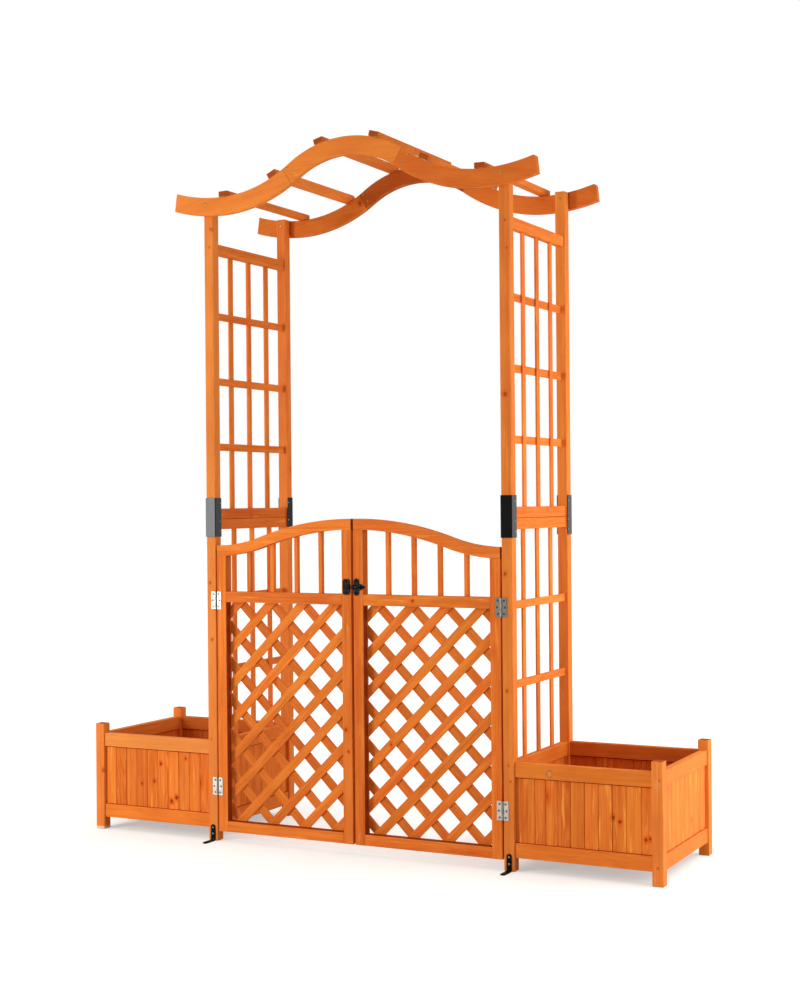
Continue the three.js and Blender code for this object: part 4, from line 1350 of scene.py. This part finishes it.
ANCHOR_THICKNESS = 0.003
ANCHOR_BEND = 0.003
ANCHOR_HOLE = 0.0032
ANCHOR_HOLE_INSET = 0.014
ANCHOR_SCREW_RISES = (0.022, 0.043)
for side_name, _ in SIDES:
    node = f"ground_anchor_{side_name}"
    low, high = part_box(node)
    centre = (low.x + high.x) / 2
    half = (high.x - low.x) / 2
    face = high.y - ANCHOR_THICKNESS
    bend_top = low.z + ANCHOR_THICKNESS + ANCHOR_BEND
    bend_start = face - ANCHOR_BEND
    bracket = Assembly(node)
    flange = [(low.x, bend_top), (high.x, bend_top)] + arc(centre, high.z - half, half, 0, 180, 16)
    elevation_prism(bracket, flange, face, high.y, UPRIGHT, 0.0)
    # The bend, as a quarter ring across the bracket
    outside = ANCHOR_BEND + ANCHOR_THICKNESS
    ring = arc(bend_start, bend_top, outside, 270, 360, 8)
    ring += arc(bend_start, bend_top, ANCHOR_BEND, 360, 270, 8)
    own = [(y - bend_start, z - bend_top) for y, z in ring]
    bent = solid_prism(own, high.x - low.x, 0.0)
    across = Vector((0, 1, 0))
    along = Vector((0, 0, 1))
    bracket.add(bent, axes_to(across, along, Vector((centre, bend_start, bend_top))))
    foot = arc(centre, low.y + half, half, 180, 360, 16)
    foot += [(high.x, bend_start), (low.x, bend_start)]
    sole = holed_plate(foot, (centre, low.y + ANCHOR_HOLE_INSET), ANCHOR_HOLE, ANCHOR_THICKNESS)
    bracket.add(sole, Matrix.Translation((0, 0, low.z)))
    bracket.stand_for(node, "arch", matt_black)
    screws = Assembly(f"{node} screws")
    places = [(centre, face, low.z + rise) for rise in ANCHOR_SCREW_RISES]
    add_screws(screws, ANCHOR_SCREW, FRONT_OUT, places)
    screws.finish(f"{node}_screws", "arch", screw_steel)


# Slide latch

STAPLE_X = (-0.019, -0.009)
CASE_PLATE_END = 0.025
GUIDES = ((0.006, 0.0095), (0.0305, 0.038))
BOLT_SIZE = 0.008
BOLT_EDGE = 0.0009
BRIDGE_WALL = 0.002
BRIDGE_CORNER = 0.0016
BRIDGE_EDGE = 0.0005
# Half heights of the holes that the bolt slides in
STAPLE_HOLE = 0.005
GUIDE_HOLE = 0.0044
KEEPER_THICKNESS = 0.0014
KEEPER_CORNER = 0.0085
KEEPER_SCREW_RISE = 0.0175
KEEPER_SCREW_INSET = 0.006
CASE_THICKNESS = 0.002
CASE_SCREW_RISE = 0.0185
# Half height of the case's tongue, and radius of the hollow between the tongue and the plate
TONGUE_HALF = 0.010
HOLLOW = 0.002
KNOB_X = 0.0275
KNOB_SIDES = 24


def bridge(parts, x_from, x_to, hole_half, front_y, back_y, middle_z):
    """Strap over the bolt, seen along X as a U that stands on the plate."""
    outer = hole_half + BRIDGE_WALL
    front = back_y - front_y
    inside = front - BRIDGE_WALL
    bend = front - BRIDGE_CORNER
    points = [(0.0, -outer)] + arc(bend, BRIDGE_CORNER - outer, BRIDGE_CORNER, -90, 0, 4)
    points += arc(bend, outer - BRIDGE_CORNER, BRIDGE_CORNER, 0, 90, 4) + [(0.0, outer), (0.0, hole_half)]
    points += [(inside, hole_half), (inside, -hole_half), (0.0, -hole_half)]
    middle = Vector(((x_from + x_to) / 2, back_y, middle_z))
    strap = solid_prism(points, x_to - x_from, BRIDGE_EDGE)
    parts.add(strap, axes_to(Vector((0, -1, 0)), Vector((0, 0, 1)), middle))


low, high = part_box("latch_keeper")
latch_z = (low.z + high.z) / 2
front = high.y - KEEPER_THICKNESS
middle = (low.x + high.x) / 2
keeper = Assembly("keeper")
outline = rounded(low.x, high.x, low.z, high.z, KEEPER_CORNER, 8)
elevation_prism(keeper, outline, front, high.y, UPRIGHT, STEEL_EDGE)
bridge(keeper, *STAPLE_X, STAPLE_HOLE, low.y, high.y, latch_z)
keeper.stand_for("latch_keeper", "left_leaf", matt_black)
screws = Assembly("keeper screws")
places = [(middle, front, latch_z + rise) for rise in (-KEEPER_SCREW_RISE, KEEPER_SCREW_RISE)]
places.append((low.x + KEEPER_SCREW_INSET, front, latch_z))
add_screws(screws, LATCH_SCREW, FRONT_OUT, places)
screws.finish("latch_keeper_screws", "left_leaf", matt_black)

low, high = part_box("latch_case")
front = high.y - CASE_THICKNESS
half = (CASE_PLATE_END - low.x) / 2
middle = (CASE_PLATE_END + low.x) / 2
hollow_x = CASE_PLATE_END + HOLLOW
hollow_rise = TONGUE_HALF + HOLLOW
case = Assembly("case")
outline = arc(high.x - TONGUE_HALF, latch_z, TONGUE_HALF, -90, 90, 12)
outline += arc(hollow_x, latch_z + hollow_rise, HOLLOW, 270, 180, 4)
outline += arc(middle, high.z - half, half, 0, 180, 14)
outline += arc(middle, low.z + half, half, 180, 360, 14)
outline += arc(hollow_x, latch_z - hollow_rise, HOLLOW, 180, 90, 4)
elevation_prism(case, outline, front, high.y, UPRIGHT, STEEL_EDGE)
for guide in GUIDES:
    bridge(case, *guide, GUIDE_HOLE, low.y, high.y, latch_z)
case.stand_for("latch_case", "right_leaf", matt_black)
screws = Assembly("case screws")
places = [(middle, front, latch_z + rise) for rise in (-CASE_SCREW_RISE, CASE_SCREW_RISE)]
add_screws(screws, LATCH_SCREW, FRONT_OUT, places)
screws.finish("latch_case_screws", "right_leaf", matt_black)

low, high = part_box("latch_bolt")
bolt = Assembly("bolt")
bar = solid_box((BOLT_SIZE, BOLT_SIZE, high.x - low.x), BOLT_EDGE, 3)
bolt_y = high.y - BOLT_SIZE / 2
bolt.add(bar, facing(RIGHT_OUT, ((low.x + high.x) / 2, bolt_y, latch_z)))
# Radii and distances from the bolt's middle
reach = bolt_y - low.y
knob_profile = (
    (0.0, 0.0), (0.0017, 0.0), (0.0017, 0.0055), (0.0022, 0.0066), (0.0025, 0.008),
    (0.0025, reach - 0.0016), (0.0021, reach - 0.0006), (0.0012, reach), (0.0, reach),
)
bolt.add(lathe(knob_profile, KNOB_SIDES), facing(FRONT_OUT, (KNOB_X, bolt_y, latch_z)))
bolt.stand_for("latch_bolt", "bolt", matt_black)


# Screws of the beam laps and bolts at the post tops, on the faces towards the front

BOLT_HEIGHT = 2.075
# Distances from the middle, and heights
LAP_SCREWS = ((0.214, 2.162), (0.196, 2.138))
fixings = Assembly("fixings")
for row_name, row in ROWS:
    beam_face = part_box(f"beam_{row_name}_crown")[0].y
    post_face = beam_face if row < 0 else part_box("post_rear_left_upper")[0].y
    for _, side in SIDES:
        add_screws(fixings, LAP_SCREW, FRONT_OUT, [(side * x, beam_face, z) for x, z in LAP_SCREWS])
        add_screws(fixings, BEAM_BOLT, FRONT_OUT, [(side * POST_X, post_face, BOLT_HEIGHT)])
fixings.finish("beam_fixings", "arch", yellow_zinc)


# Floor, lights and camera

def add_light(name, kind, power, direction):
    light = new_object(name, bpy.data.lights.new(name, kind))
    light.data.energy = power
    light.rotation_euler = Vector(direction).to_track_quat("-Z", "Y").to_euler()
    return light


# Bright ceiling, and name, place, target, size and power of each soft box
CEILING_POWER = 0.42 * math.pi
CEILING_DIRECTION = (0.05, -0.1, -1.0)
CEILING_SPREAD = math.radians(100)
SOFT_BOXES = (
    ("right_box", (2.05, 0.3, 1.1), (0.6, 0.15, 1.05), (1.5, 2.1), 30),
    ("right_strip", (1.95, 3.1, 1.1), (0.54, -0.2, 1.1), (1.0, 2.4), 8),
    ("left_box", (-2.75, -3.65, 1.5), (-0.3, -0.2, 1.2), (1.1, 2.5), 118),
)
add_light("ceiling", "SUN", CEILING_POWER, CEILING_DIRECTION).data.angle = CEILING_SPREAD
for name, place, target, size, power in SOFT_BOXES:
    light = add_light(name, "AREA", power, Vector(target) - Vector(place))
    light.location = place
    light.visible_camera = False
    light.data.shape = "RECTANGLE"
    light.data.size, light.data.size_y = size

# Floor of pale grey that glows for the camera only, so that it looks white where no shadow falls
FLOOR_REACH = 30.0
FLOOR_DROP = 0.0004
FLOOR_COLOURS = ((0.69, 0.69, 0.66, 1), (0.71, 0.71, 0.68, 1))
# Strength of the glow at two distances from the arch's middle
GLOW_REACH = (1.3, 2.8)
GLOW_STRENGTH = (0.4, 0.55)
GLOW_COLOUR = (0.95, 1.0, 0.98, 1.0)
floor_mesh = bpy.data.meshes.new("floor")
ends = (-FLOOR_REACH, FLOOR_REACH)
floor_mesh.from_pydata([(x, y, -FLOOR_DROP) for y in ends for x in ends], [], [(0, 1, 3, 2)])
new_object("floor", floor_mesh)
paint = Shader(bpy.data.materials.new("floor_paint"))
here = paint.node("ShaderNodeTexCoord").outputs["Object"]
mottle = paint.remap(paint.noise(here, (3, 3, 3)), 0.3, 0.7)
away = paint.node("ShaderNodeVectorMath", {0: here}, operation="LENGTH").outputs["Value"]
seen = paint.node("ShaderNodeLightPath").outputs["Is Camera Ray"]
floor_mesh.materials.append(paint.finish({
    "Base Color": paint.mix(mottle, *FLOOR_COLOURS),
    "Roughness": 0.9,
    "Specular IOR Level": 0.1,
    "Emission Color": GLOW_COLOUR,
    "Emission Strength": paint.times(seen, paint.remap(away, *GLOW_REACH, *GLOW_STRENGTH)),
}))

# White to the camera and dimmer as a light
SKY_LIGHT = 0.4
world = bpy.data.worlds.new("studio")
bpy.context.scene.world = world
sky = Shader(world)
seen = sky.node("ShaderNodeLightPath").outputs["Is Camera Ray"]
strength = sky.node("ShaderNodeMapRange", {"Value": seen, "To Min": SKY_LIGHT, "To Max": 1.0}).outputs[0]
glow = sky.node("ShaderNodeBackground", {"Color": (1, 1, 1, 1), "Strength": strength}).outputs[0]
sky.node("ShaderNodeOutputWorld", {"Surface": glow})


CAMERA_PLACE = (2.4349, -4.6458, 1.1072)
YAW = math.radians(27.13)
ROLL = math.radians(-0.49)
SENSOR = 36.0
# Focal length in pixels of a picture 1000 pixels high
FOCAL_PIXELS = 1616.6
PICTURE_PIXELS = 1000
CLIP_END = 100
right = Vector((math.cos(YAW), math.sin(YAW), 0))
forward = Vector((-math.sin(YAW), math.cos(YAW), 0))
across = math.cos(ROLL) * right + math.sin(ROLL) * right.cross(forward)
camera_data = bpy.data.cameras.new("camera")
camera_data.sensor_width = SENSOR
camera_data.lens = FOCAL_PIXELS * SENSOR / PICTURE_PIXELS
camera_data.clip_end = CLIP_END
camera = new_object("camera", camera_data)
camera.matrix_world = axes_to(across, -forward, Vector(CAMERA_PLACE))
bpy.context.scene.camera = camera
bpy.context.scene.view_settings.view_transform = "Standard"
